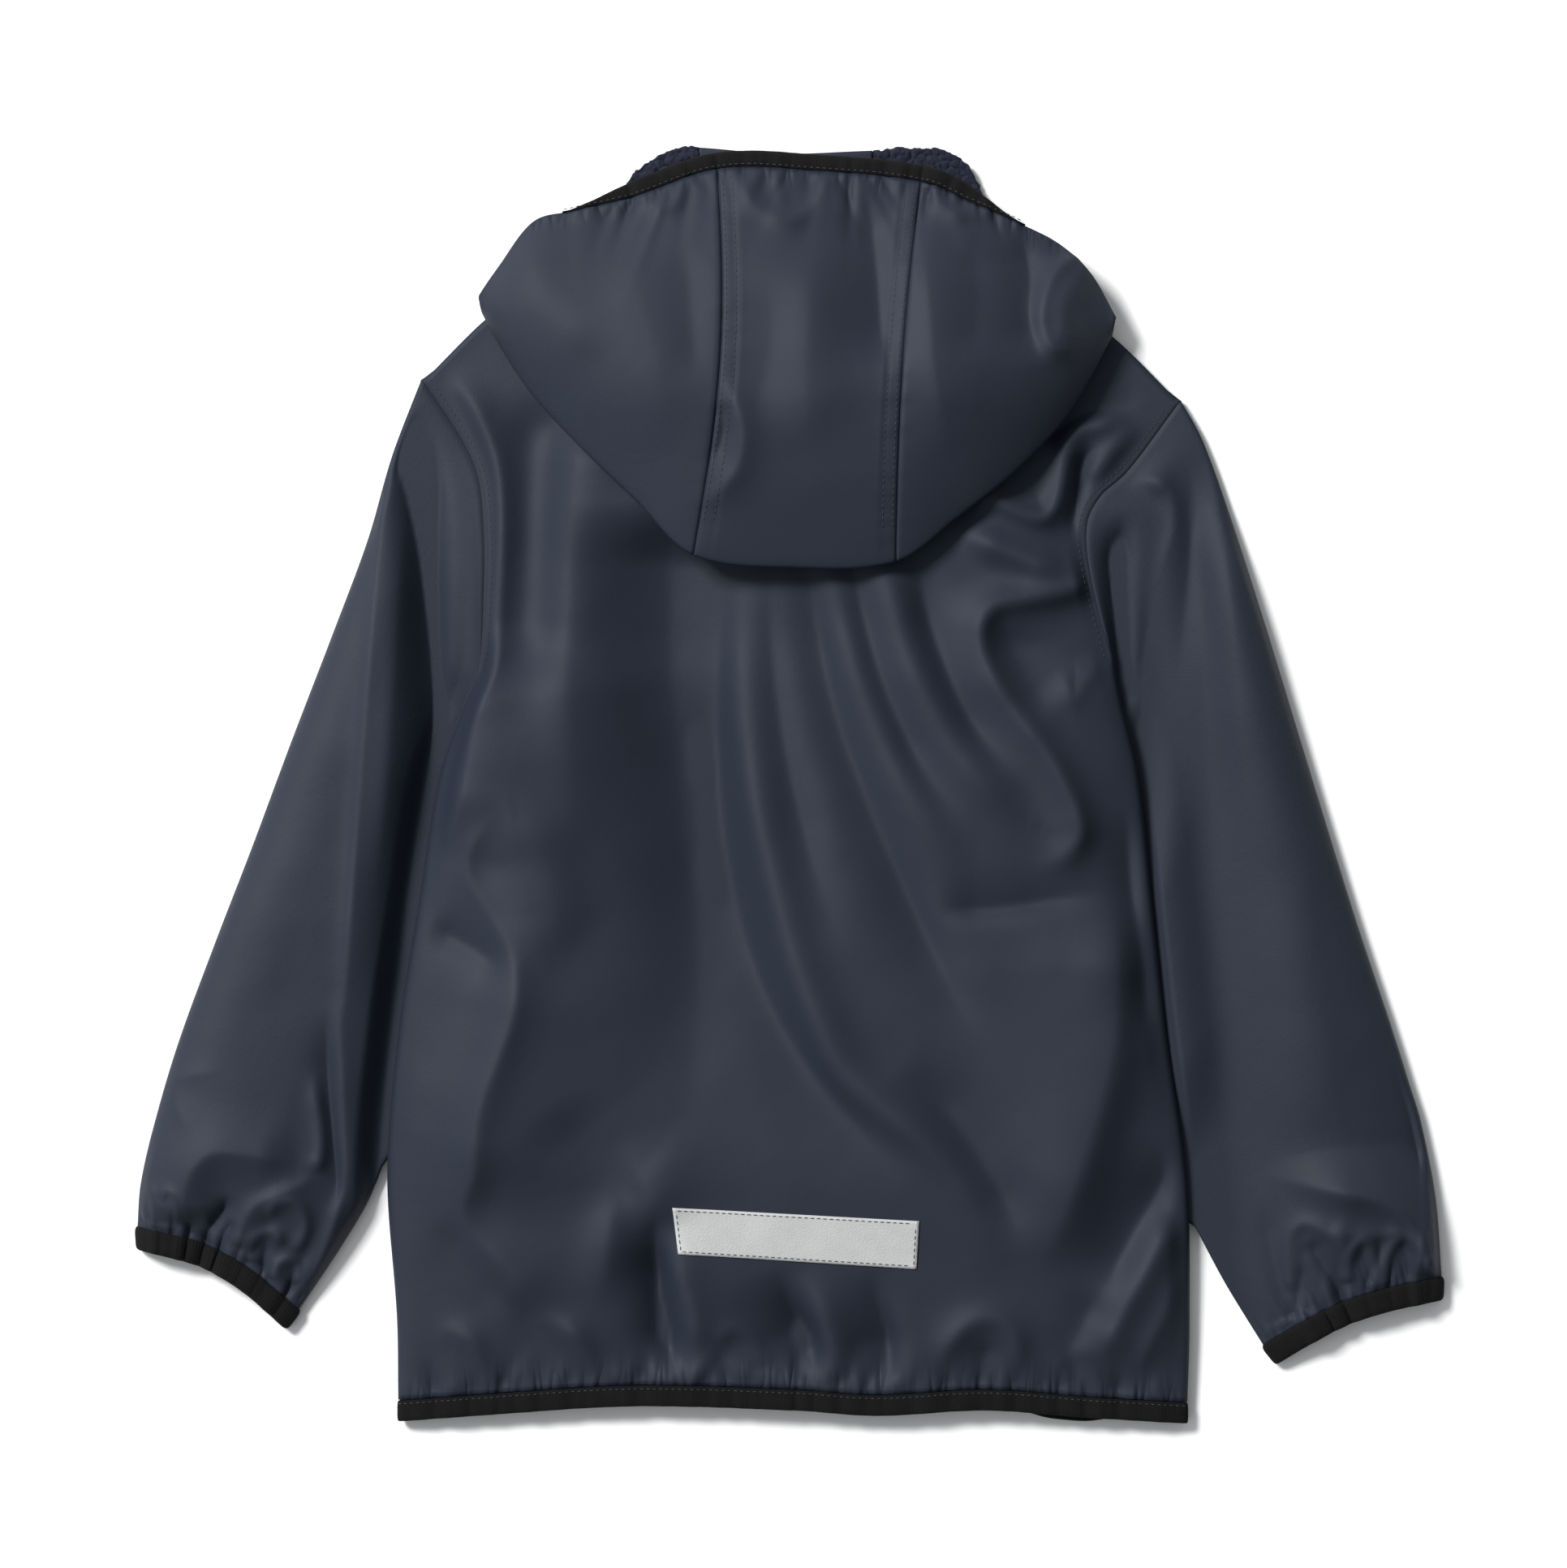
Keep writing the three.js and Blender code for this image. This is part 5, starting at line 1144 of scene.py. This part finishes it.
def hood_under(at, back):
    """Middle of the hood's hidden layer: back is 0 at the lower fold and 1 at the neck seam."""
    row = hood_row(at)
    fold = spot(row["fold_x"], row["fold_y"], 0)
    neck = spot(row["neck_x"], column(BACK_TOP, "x", row["neck_x"], "y"), 0)
    place = mix(fold, neck, back[..., None])
    turned = np.minimum(1, back * np.linalg.norm(fold - neck, axis=-1) / HOOD_TURN)
    under = back_height(place[..., 0], place[..., 1]) + LAYER_STEP + HOOD_UNDER_LIFT
    under = under + np.maximum(fold_height(BACK_FOLDS, place[..., 0], place[..., 1]), 0)
    place[..., 2] = under + (row["fold"] - under) * (1 - np.sqrt(1 - (1 - turned) ** 2))
    return place


def hood_grid(first, last, columns, rows=110, hidden=26):
    """Columns of a hood panel, from the face opening over the lower fold to the neck seam."""
    at = np.linspace(first, last, columns)
    down = 1 - (1 - np.linspace(0, 1, rows)) ** 1.35
    stations, downs = np.meshgrid(at, down)
    upper = hood_upper(stations, downs)
    back = np.concatenate([np.linspace(0.004, 0.06, 6), np.linspace(0.09, 1, hidden - 6)])
    stations, backs = np.meshgrid(at, back)
    return np.concatenate([upper, hood_under(stations, backs)], axis=0)


# ---- bindings and stitches ----

def binding_grid(edge, out, up, width, thick, start, wobble, sections=18):
    """Band folded over an edge: rows follow the edge, columns go round it from one side to the other."""
    angle = np.linspace(0.07, 2 * math.pi - 0.07, sections + 1)[None, :, None]
    wide = np.sign(np.cos(angle)) * np.abs(np.cos(angle)) ** 0.45
    high = np.sign(np.sin(angle)) * np.abs(np.sin(angle)) ** 0.55
    distance = start + width / 2 * (1 - wide)
    full = thick / 2 * (1 + wobble[:, None, None])
    return edge[:, None] + out[:, None] * distance + up[:, None] * high * full


def ring_run(edge):
    """Direction along a closed line whose last point repeats the first."""
    run = unit(np.roll(edge, -1, 0) - np.roll(edge, 1, 0))
    run[[0, -1]] = unit(edge[1] - edge[-2])
    return run


def ring_band(edge, out, up, length, seed):
    """Binding round a closed edge, standing on the floor where it is low."""
    sizes = settings().sizes
    wobble = edge_wobble(len(edge), length, seed)
    wobble[-1] = wobble[0]
    band = binding_grid(edge, out, up, sizes.binding_width / MM, sizes.binding_thick / MM, GAP, wobble)
    band[..., 2] = np.maximum(band[..., 2], 0)
    return band


def edge_wobble(count, length, seed, pitch=3.2, height=0.06):
    """Uneven fullness along a gathered binding."""
    x = np.linspace(0, length, count)
    return height * (crumple(x, x * 0 + seed, pitch, seed) + 0.5 * crumple(x, x * 0, pitch / 2.2, seed + 3))


STITCH_SHAPE = Matrix.Diagonal((1.15 * MM, 0.24 * MM, 0.2 * MM, 1))
TOOTH_SHAPE = Matrix.Diagonal((1.3 * MM, 0.5 * MM, 0.5 * MM, 1))


def stitch_object(name, rows):
    """One piece of small stitches from rows of (places, normals) in mm."""
    sizes = settings().sizes
    bm = bmesh.new()
    for places, normals in rows:
        gaps = np.linalg.norm(np.diff(places, axis=0), axis=1)
        travelled = np.concatenate([[0], np.cumsum(gaps)])
        for start in np.arange(0.5, travelled[-1], sizes.stitch_pitch / MM):
            stop = start + sizes.stitch / MM
            if stop > travelled[-1]:
                break
            a, b, n = (np.array([np.interp(t, travelled, data[:, k]) for k in range(3)])
                       for t, data in ((start, places), (stop, places), ((start + stop) / 2, normals)))
            forward = Vector(b - a).normalized()
            normal = Vector(n).normalized()
            aside = normal.cross(forward).normalized()
            turn = axes_matrix(forward, aside, forward.cross(aside), Vector((a + b) / 2) * MM)
            bmesh.ops.create_icosphere(bm, subdivisions=1, radius=1, matrix=turn @ STITCH_SHAPE)
    piece = finish(name, bm, thread_material())
    return piece


def axes_matrix(x, y, z, place):
    """Turn and place of a shape from the three directions of its axes."""
    turn = Matrix((x, y, z)).transposed().to_4x4()
    turn.translation = place
    return turn


def stitches_on(tree, paths, lift=0.12):
    """Rows of stitch places that lie on the cloth under paths in plan."""
    rows = []
    for path in paths:
        found = [drop_on(tree, x, y) for x, y in path]
        found = [hit for hit in found if hit]
        if len(found) > 1:
            places = np.array([place + normal * lift for place, normal in found])
            rows.append((places, np.array([normal for _, normal in found])))
    return rows


# ---- operators ----

VIEW_LEVEL = 0.012                # the view's width is measured at this height, m
KEY_PLACE = (-2.6, 2.2, 3.5)
KEY_SIZE = 1.3
FLOOR_REACH = 6
FLOOR_COLOUR = (0.92, 0.92, 0.92)
ROOM_COLOUR = (0.97, 0.985, 1, 1)
ROOM_FROM = (-0.86, 0.5, 0)       # the room's light is strongest from here


class JACKET_OT_stage(bpy.types.Operator):
    """Makes the camera, the lights and the pale floor"""
    bl_idname = "jacket.stage"
    bl_label = "Camera, lights and floor"

    def execute(self, context):
        stage = context.scene.jacket.stage
        scene = context.scene
        camera = bpy.data.objects.new("Camera", bpy.data.cameras.new("Camera"))
        scene.collection.objects.link(camera)
        camera.location = (stage.view_x, stage.view_y, stage.camera_height)
        camera.data.lens = camera.data.sensor_width * (stage.camera_height - VIEW_LEVEL) / stage.view_width
        camera.data.clip_end = 20
        scene.camera = camera
        scene.view_settings.view_transform = "Standard"

        self.light(scene, "Key", KEY_PLACE, KEY_SIZE, stage.key)
        world = bpy.data.worlds.new("Room")
        world.use_nodes = True
        self.room(world.node_tree, stage.fill)
        scene.world = world

        bm = bmesh.new()
        bmesh.ops.create_grid(bm, x_segments=8, y_segments=8, size=FLOOR_REACH)
        material, tree, shader = start_material("Pale floor", 0.9)
        uneven(tree, shader, FLOOR_COLOUR, 0.004, 3.0)
        mesh = bpy.data.meshes.new("Floor")
        bm.to_mesh(mesh)
        bm.free()
        floor = bpy.data.objects.new("Floor", mesh)
        scene.collection.objects.link(floor)
        mesh.materials.append(material)
        return {"FINISHED"}

    def room(self, tree, strength):
        """Even light that is stronger from the key's side than from the other."""
        place = add_node(tree, "ShaderNodeTexCoord")
        toward = add_node(tree, "ShaderNodeVectorMath", operation="DOT_PRODUCT")
        toward.inputs[1].default_value = ROOM_FROM
        link(tree, place.outputs["Generated"], toward.inputs[0])
        level = add_node(tree, "ShaderNodeMapRange")
        bounds = {"From Min": -0.6, "From Max": 0.5, "To Min": strength * 0.35, "To Max": strength * 1.6}
        for label, value in bounds.items():
            level.inputs[label].default_value = value
        link(tree, toward.outputs["Value"], level.inputs["Value"])
        background = tree.nodes["Background"]
        background.inputs["Color"].default_value = ROOM_COLOUR
        link(tree, level.outputs[0], background.inputs["Strength"])

    def light(self, scene, name, place, size, power):
        data = bpy.data.lights.new(name, "AREA")
        data.shape = "SQUARE"
        data.size = size
        data.energy = power
        lamp = bpy.data.objects.new(name, data)
        scene.collection.objects.link(lamp)
        lamp.location = place
        lamp.rotation_euler = (Vector((0, 0, 0)) - lamp.location).to_track_quat("-Z", "Y").to_euler()


class JACKET_OT_body(bpy.types.Operator):
    """Makes the back with its folds, and the two fronts under it"""
    bl_idname = "jacket.body"
    bl_label = "Back and fronts"

    def execute(self, context):
        back = cloth_panel("back_panel", back_grid(), elastic=(0, HEM_PLEATS))
        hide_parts("back")
        for side, name in ((-1, "left"), (1, "right")):
            points = front_grid(side, body_rows(60, 32), 24)
            front = cloth_panel(f"front_panel_{name}", points, turn=side > 0)
            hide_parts(f"front_{name}")
        return {"FINISHED"}


class JACKET_OT_sleeves(bpy.types.Operator):
    """Makes both sleeves and their elastic bindings"""
    bl_idname = "jacket.sleeves"
    bl_label = "Sleeves and cuffs"

    def execute(self, context):
        thick = context.scene.jacket.sizes.binding_thick / MM
        cuff_at = 0.72    # the rows are closer together from here to the cuff, and at the armhole
        at = np.concatenate([cuff_at * np.linspace(0, 1, 120) ** 1.25, np.linspace(cuff_at, 1, 111)[1:]])
        for name, sleeve in SLEEVES.items():
            side = sleeve["side"]
            ring = sleeve_ring(name, at)
            piece = cloth_panel(
                f"sleeve_shell_{name}", ring, wrap=True, turn=side < 0, elastic=(-1, CUFF_PLEATS))
            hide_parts(f"sleeve_{name}", f"under_sleeve_{name}")
            edge = ring[-1]
            width = np.linalg.norm((edge[SLEEVE_COLUMNS - 1] - edge[0]) * (1, 1, 0))
            share = np.clip(np.linalg.norm((edge - edge[0]) * (1, 1, 0), axis=-1) / width, 0, 1)
            lean = mix(sleeve["outer_lean"], sleeve["inner_lean"], share)
            out = unit(spot(lean, -1.0, 0.0))
            up = unit(np.cross(out, ring_run(edge))) * -side
            edge = edge.copy()
            edge[:, 2] = np.maximum(edge[:, 2], thick / 2 + FLOOR_CLEAR)
            band = ring_band(edge, out, up, 2 * width, 11 + side)
            cuff = grid_object(
                f"cuff_elastic_{name}", band, binding_material(), wall=BAND_WALL, wrap=True, turn=side < 0,
                inward=True)
            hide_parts(f"cuff_binding_{name}")
            line = edge + out * (GAP + BAND_STITCH) + up * (thick / 2 + STITCH_LIFT)
            stitch_object(f"cuff_stitches_{name}", [(line[:SLEEVE_COLUMNS], up[:SLEEVE_COLUMNS])])
        tree = surface_tree(bpy.data.objects["back_panel"])
        paths = [armhole_line(side, ARMHOLE_STITCH) for side in (-1, 1)]
        stitch_object("armhole_stitches", stitches_on(tree, paths))
        return {"FINISHED"}


def armhole_line(side, inset, count=150):
    """Path in plan beside the armhole seam, on the body."""
    line = armhole(side, np.linspace(0.0, 0.97, count), -inset)
    return [(x, y) for x, y, _ in line]


HEM_COLUMNS = 260
HEM_PEEK = (2.6, 132, 17)    # the front's hem shows this far below the back's, at this x, this far each way


class JACKET_OT_hem(bpy.types.Operator):
    """Makes the elastic binding round the hem, with its stitches"""
    bl_idname = "jacket.hem"
    bl_label = "Hem binding"

    def execute(self, context):
        thick = context.scene.jacket.sizes.binding_thick / MM
        across = np.linspace(0, 1, HEM_COLUMNS)
        upper = back_point(across, np.zeros(across.shape))
        right = turn_under(upper[-1:], upper[-6:-5], thick / 2, 6)[0]
        left = turn_under(upper[:1], upper[5:6], thick / 2, 6)[0]
        x = np.linspace(right[-1, 0] - 1.5, left[-1, 0] + 1.5, 160)
        depth, middle, reach = HEM_PEEK
        peek = depth * np.exp(-((x - middle) / reach) ** 4)
        lower = spot(x, column(HEM, "x", x, "y") - peek, thick / 2)
        edge = np.concatenate([upper, right, lower, left[::-1], upper[:1]])
        edge[:, 2] = np.maximum(edge[:, 2], thick / 2)
        out = np.tile((0.0, -1.0, 0.0), (len(edge), 1))
        up = unit(np.cross(out, ring_run(edge)))
        band = ring_band(edge, out, up, HEM_RING, 31)
        hem = grid_object("hem_elastic", band, binding_material(), wall=BAND_WALL, wrap=True, inward=True)
        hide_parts("hem_binding")
        line = edge + out * (GAP + BAND_STITCH) + up * (thick / 2 + STITCH_LIFT)
        stitch_object("hem_stitches", [(line[:HEM_COLUMNS], up[:HEM_COLUMNS])])
        return {"FINISHED"}


HOOD_BAND_DROOP = (1.5, 8)    # the hood's binding hangs this far down, this far from the cloth's edge


class JACKET_OT_hood(bpy.types.Operator):
    """Makes the three panels of the hood, its binding and its topstitching"""
    bl_idname = "jacket.hood"
    bl_label = "Hood"

    def execute(self, context):
        sizes = context.scene.jacket.sizes
        first, second = HOOD_SEAMS
        half_gap = 0.0006    # at a seam, as a share of the hood
        panels = []
        for name, start, stop, columns, area in (
                ("left", 0, first - half_gap, 84, 0.036),
                ("centre", first + half_gap, second - half_gap, 64, 0.031),
                ("right", second + half_gap, 1, 84, 0.034)):
            panel = cloth_panel(
                f"hood_panel_{name}", hood_grid(start, stop, columns), turn=True, elastic=(0, HOOD_PLEATS))
            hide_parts(f"hood_{name}")
            panels.append(panel)

        at = np.linspace(*HOOD_BINDING_SPAN, 190)
        rim = hood_upper(at, np.zeros(at.shape))
        run = np.gradient(rim, axis=0)
        out = unit(spot(-run[:, 1], run[:, 0], 0.0))
        up = unit(np.cross(unit(run), out))
        thick = sizes.binding_thick / MM
        wobble = edge_wobble(len(at), HOOD_RIM_LENGTH, 51, height=0.16)
        u = np.linspace(0, 1, len(at))
        taper = mix(0.08, 1, smooth(u, 0, 0.2) * smooth(1 - u, 0, 0.2))[:, None, None]
        band = binding_grid(rim, out, up, sizes.hood_binding / MM * taper, thick, GAP, wobble)
        depth, reach = HOOD_BAND_DROOP
        band[..., 2] -= depth * (np.linalg.norm((band - rim[:, None]) * (1, 1, 0), axis=-1) / reach) ** 3
        binding = grid_object(
            "hood_elastic", band, binding_material(), wall=BAND_WALL, turn=True, inward=True)
        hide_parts("hood_binding")
        line = rim + out * (GAP + HOOD_STITCH) + up * (thick / 2 + STITCH_LIFT)

        tree = surface_tree(*panels)
        down = np.linspace(0.03, 0.93, 120)
        paths = []
        for seam, inward in zip(HOOD_SEAMS, (1, -1)):
            x, y = hood_plan(np.full(down.shape, seam), down)
            paths += [list(zip(x + inward * away, y)) for away in (SEAM_STITCH, SEAM_STITCH_NEAR)]
        stitch_object("hood_stitches", [(line, up), *stitches_on(tree, paths)])
        return {"FINISHED"}


def chin_lift(x, y):
    """How far the zip slider holds the chin pieces off the floor."""
    return SLIDER_LIFT * smooth(y, *LIFT_RISE) * (1 - smooth(np.abs(x - ZIP_X), *LIFT_WIDTH))


COLLAR_START = 61    # a chin piece starts this many hundredths of the way from the side to the zip


def collar_grid(side, columns=30, rows=24):
    """Middle of a chin piece, from the neck seam to its top edge."""
    corner, zip_end = front_grid(side, [1.0], 101)[0][[COLLAR_START, 100]]
    across, up = np.meshgrid(np.linspace(0, 1, columns), np.linspace(0, 1, rows))
    seam_x = mix(corner[0], zip_end[0], across)
    seam_y = mix(corner[1], zip_end[1], across) + GAP * 1.5
    top_x = mix(COLLAR_TOP["x"][0 if side < 0 else -1], zip_end[0], across)
    x = mix(seam_x, top_x, up)
    y = mix(seam_y, column(COLLAR_TOP, "x", top_x, "y"), up)
    return spot(x, y, GROUND + chin_lift(x, y))


def on_collar(start, stop, bottom, columns, rows, height):
    """Middle of a piece that lies on the chin pieces, up to their top edge."""
    x, up = np.meshgrid(np.linspace(start, stop, columns), np.linspace(0, 1, rows))
    y = mix(bottom, column(COLLAR_TOP, "x", x, "y"), up)
    return spot(x, y, GROUND + chin_lift(x, y) + height)


def curls(points, seed):
    """Fleece pile: tufts that stand up and lean, over a grid of points."""
    pile = settings().sizes.pile / MM
    pitch = 2.8
    x, y = points[..., 0], points[..., 1]
    tufts = [noise.voronoi((a / pitch, b / pitch, seed))[0][0] for a, b in zip(x.ravel(), y.ravel())]
    tufts = 1 - 2.1 * np.array(tufts).reshape(x.shape) ** 1.5
    moved = points.copy()
    moved[..., 0] += 0.9 * crumple(x, y, 3.1, seed + 5)
    moved[..., 1] += 0.9 * crumple(x, y, 3.3, seed + 9)
    moved[..., 2] += pile * (tufts * 0.8 + 0.5 * crumple(x, y, 2.2, seed + 2))
    return moved


class JACKET_OT_chin(bpy.types.Operator):
    """Makes the chin pieces, their fleece lining and the guard over the zip's end"""
    bl_idname = "jacket.chin"
    bl_label = "Chin pieces and fleece"

    def execute(self, context):
        lining_height = (WALL + FLEECE) / 2 + GAP * 3
        for side, name in ((-1, "left"), (1, "right")):
            collar = cloth_panel(f"chin_piece_{name}", collar_grid(side), turn=side > 0)
            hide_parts(f"collar_{name}")
            start, stop = LINING_SPANS[name]
            points = on_collar(start, stop, LINING_BOTTOM, 86, 76, lining_height)
            lining = grid_object(
                f"fleece_{name}", curls(points, 3 + side), fleece_material(), wall=FLEECE - 1)
            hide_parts(f"lining_{name}")
        start, stop, bottom = CHIN_GUARD
        guard = cloth_panel("chin_cover", on_collar(start, stop, bottom, 60, 24, LAYER_STEP + GUARD_LIFT))
        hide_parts("chin_guard")
        return {"FINISHED"}


class JACKET_OT_strip(bpy.types.Operator):
    """Lays the reflective strip on the back, with its stitches"""
    bl_idname = "jacket.strip"
    bl_label = "Reflective strip"

    def execute(self, context):
        tree = surface_tree(bpy.data.objects["back_panel"])
        across, up = np.meshgrid(np.linspace(0, 1, 78), np.linspace(0, 1, 18))
        corner = {key: mix(STRIP[key][0], STRIP[key][1], across) for key in STRIP}
        x, y = mix(corner["bottom_x"], corner["top_x"], up), mix(corner["bottom_y"], corner["top_y"], up)
        z = np.array([drop_on(tree, a, b)[0][2] for a, b in zip(x.ravel(), y.ravel())]).reshape(x.shape)
        for _ in range(2):
            z[1:-1, 1:-1] = (z[:-2, 1:-1] + z[2:, 1:-1] + z[1:-1, :-2] + z[1:-1, 2:] + 2 * z[1:-1, 1:-1]) / 6
        strip = grid_object("reflector", spot(x, y, z + STRIP_LIFT), strip_material(), wall=STRIP_WALL)
        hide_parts("reflective_strip")
        border = [list(zip(x[k, 1:-1], y[k, 1:-1])) for k in (1, -2)]
        border += [list(zip(x[1:-1, k], y[1:-1, k])) for k in (1, -2)]
        stitch_object("reflector_stitches", stitches_on(surface_tree(strip), border))
        return {"FINISHED"}


class JACKET_OT_zip(bpy.types.Operator):
    """Makes the zip tapes with their coils under the jacket, and finishes the slider and its pull tab"""
    bl_idname = "jacket.zip"
    bl_label = "Zip"

    def execute(self, context):
        y = np.linspace(TAPE_BOTTOM, SLIDER_Y + 3, 220)
        for side, name in ((-1, "left"), (1, "right")):
            out, where = np.meshgrid(np.linspace(GAP / 2, TAPE_WIDTH, 8), y)
            x = ZIP_X + side * out
            points = spot(x, where, TAPE_THICK / 2 + chin_lift(x, where))
            tape = grid_object(f"tape_{name}", points, tape_material(), wall=TAPE_THICK - 0.6, turn=side < 0)
            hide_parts(f"zip_tape_{name}", f"zip_end_{name}")
            self.coil(side, name)
        for node in ("zip_slider", "zip_pull"):
            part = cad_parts[node]
            part.data.materials.clear()
            part.data.materials.append(metal_material())
        return {"FINISHED"}

    def coil(self, side, name):
        """Coil teeth along the tape's inner edge, on its lower face."""
        bm = bmesh.new()
        x = ZIP_X + side
        for y in np.arange(TAPE_BOTTOM + 2.5, SLIDER_Y - 6, TOOTH_PITCH):
            z = TOOTH_HEIGHT + float(chin_lift(np.array(x), np.array(y)))
            place = Matrix.Translation(Vector((x, y + side * 0.4, z)) * MM)
            bmesh.ops.create_icosphere(bm, subdivisions=1, radius=1, matrix=place @ TOOTH_SHAPE)
        teeth = finish(f"zip_coil_{name}", bm, tape_material())


class JACKET_PT_panel(bpy.types.Panel):
    """Sizes, colours and steps of the jacket"""
    bl_label = "Hooded jacket"
    bl_idname = "JACKET_PT_panel"
    bl_space_type = "VIEW_3D"
    bl_region_type = "UI"
    bl_category = "Jacket"

    def draw(self, context):
        jacket = context.scene.jacket
        for group in (jacket.sizes, jacket.colours, jacket.stage):
            box = self.layout.box()
            for name in group.bl_rna.properties.keys():
                if name not in ("rna_type", "name"):
                    box.prop(group, name)
        for operator in STEPS:
            self.layout.operator(operator.bl_idname)


STEPS = (
    JACKET_OT_stage, JACKET_OT_body, JACKET_OT_sleeves, JACKET_OT_hem, JACKET_OT_hood, JACKET_OT_chin,
    JACKET_OT_strip, JACKET_OT_zip,
)
CLASSES = (JacketSizes, JacketColours, JacketStage, JacketSettings, *STEPS, JACKET_PT_panel)


def register():
    for entry in CLASSES:
        bpy.utils.register_class(entry)
    bpy.types.Scene.jacket = PointerProperty(type=JacketSettings)


def unregister():
    del bpy.types.Scene.jacket
    for entry in reversed(CLASSES):
        bpy.utils.unregister_class(entry)


def main():
    register()
    for operator in STEPS:
        getattr(bpy.ops.jacket, operator.bl_idname.split(".")[1])()


if __name__ == "__main__":
    main()
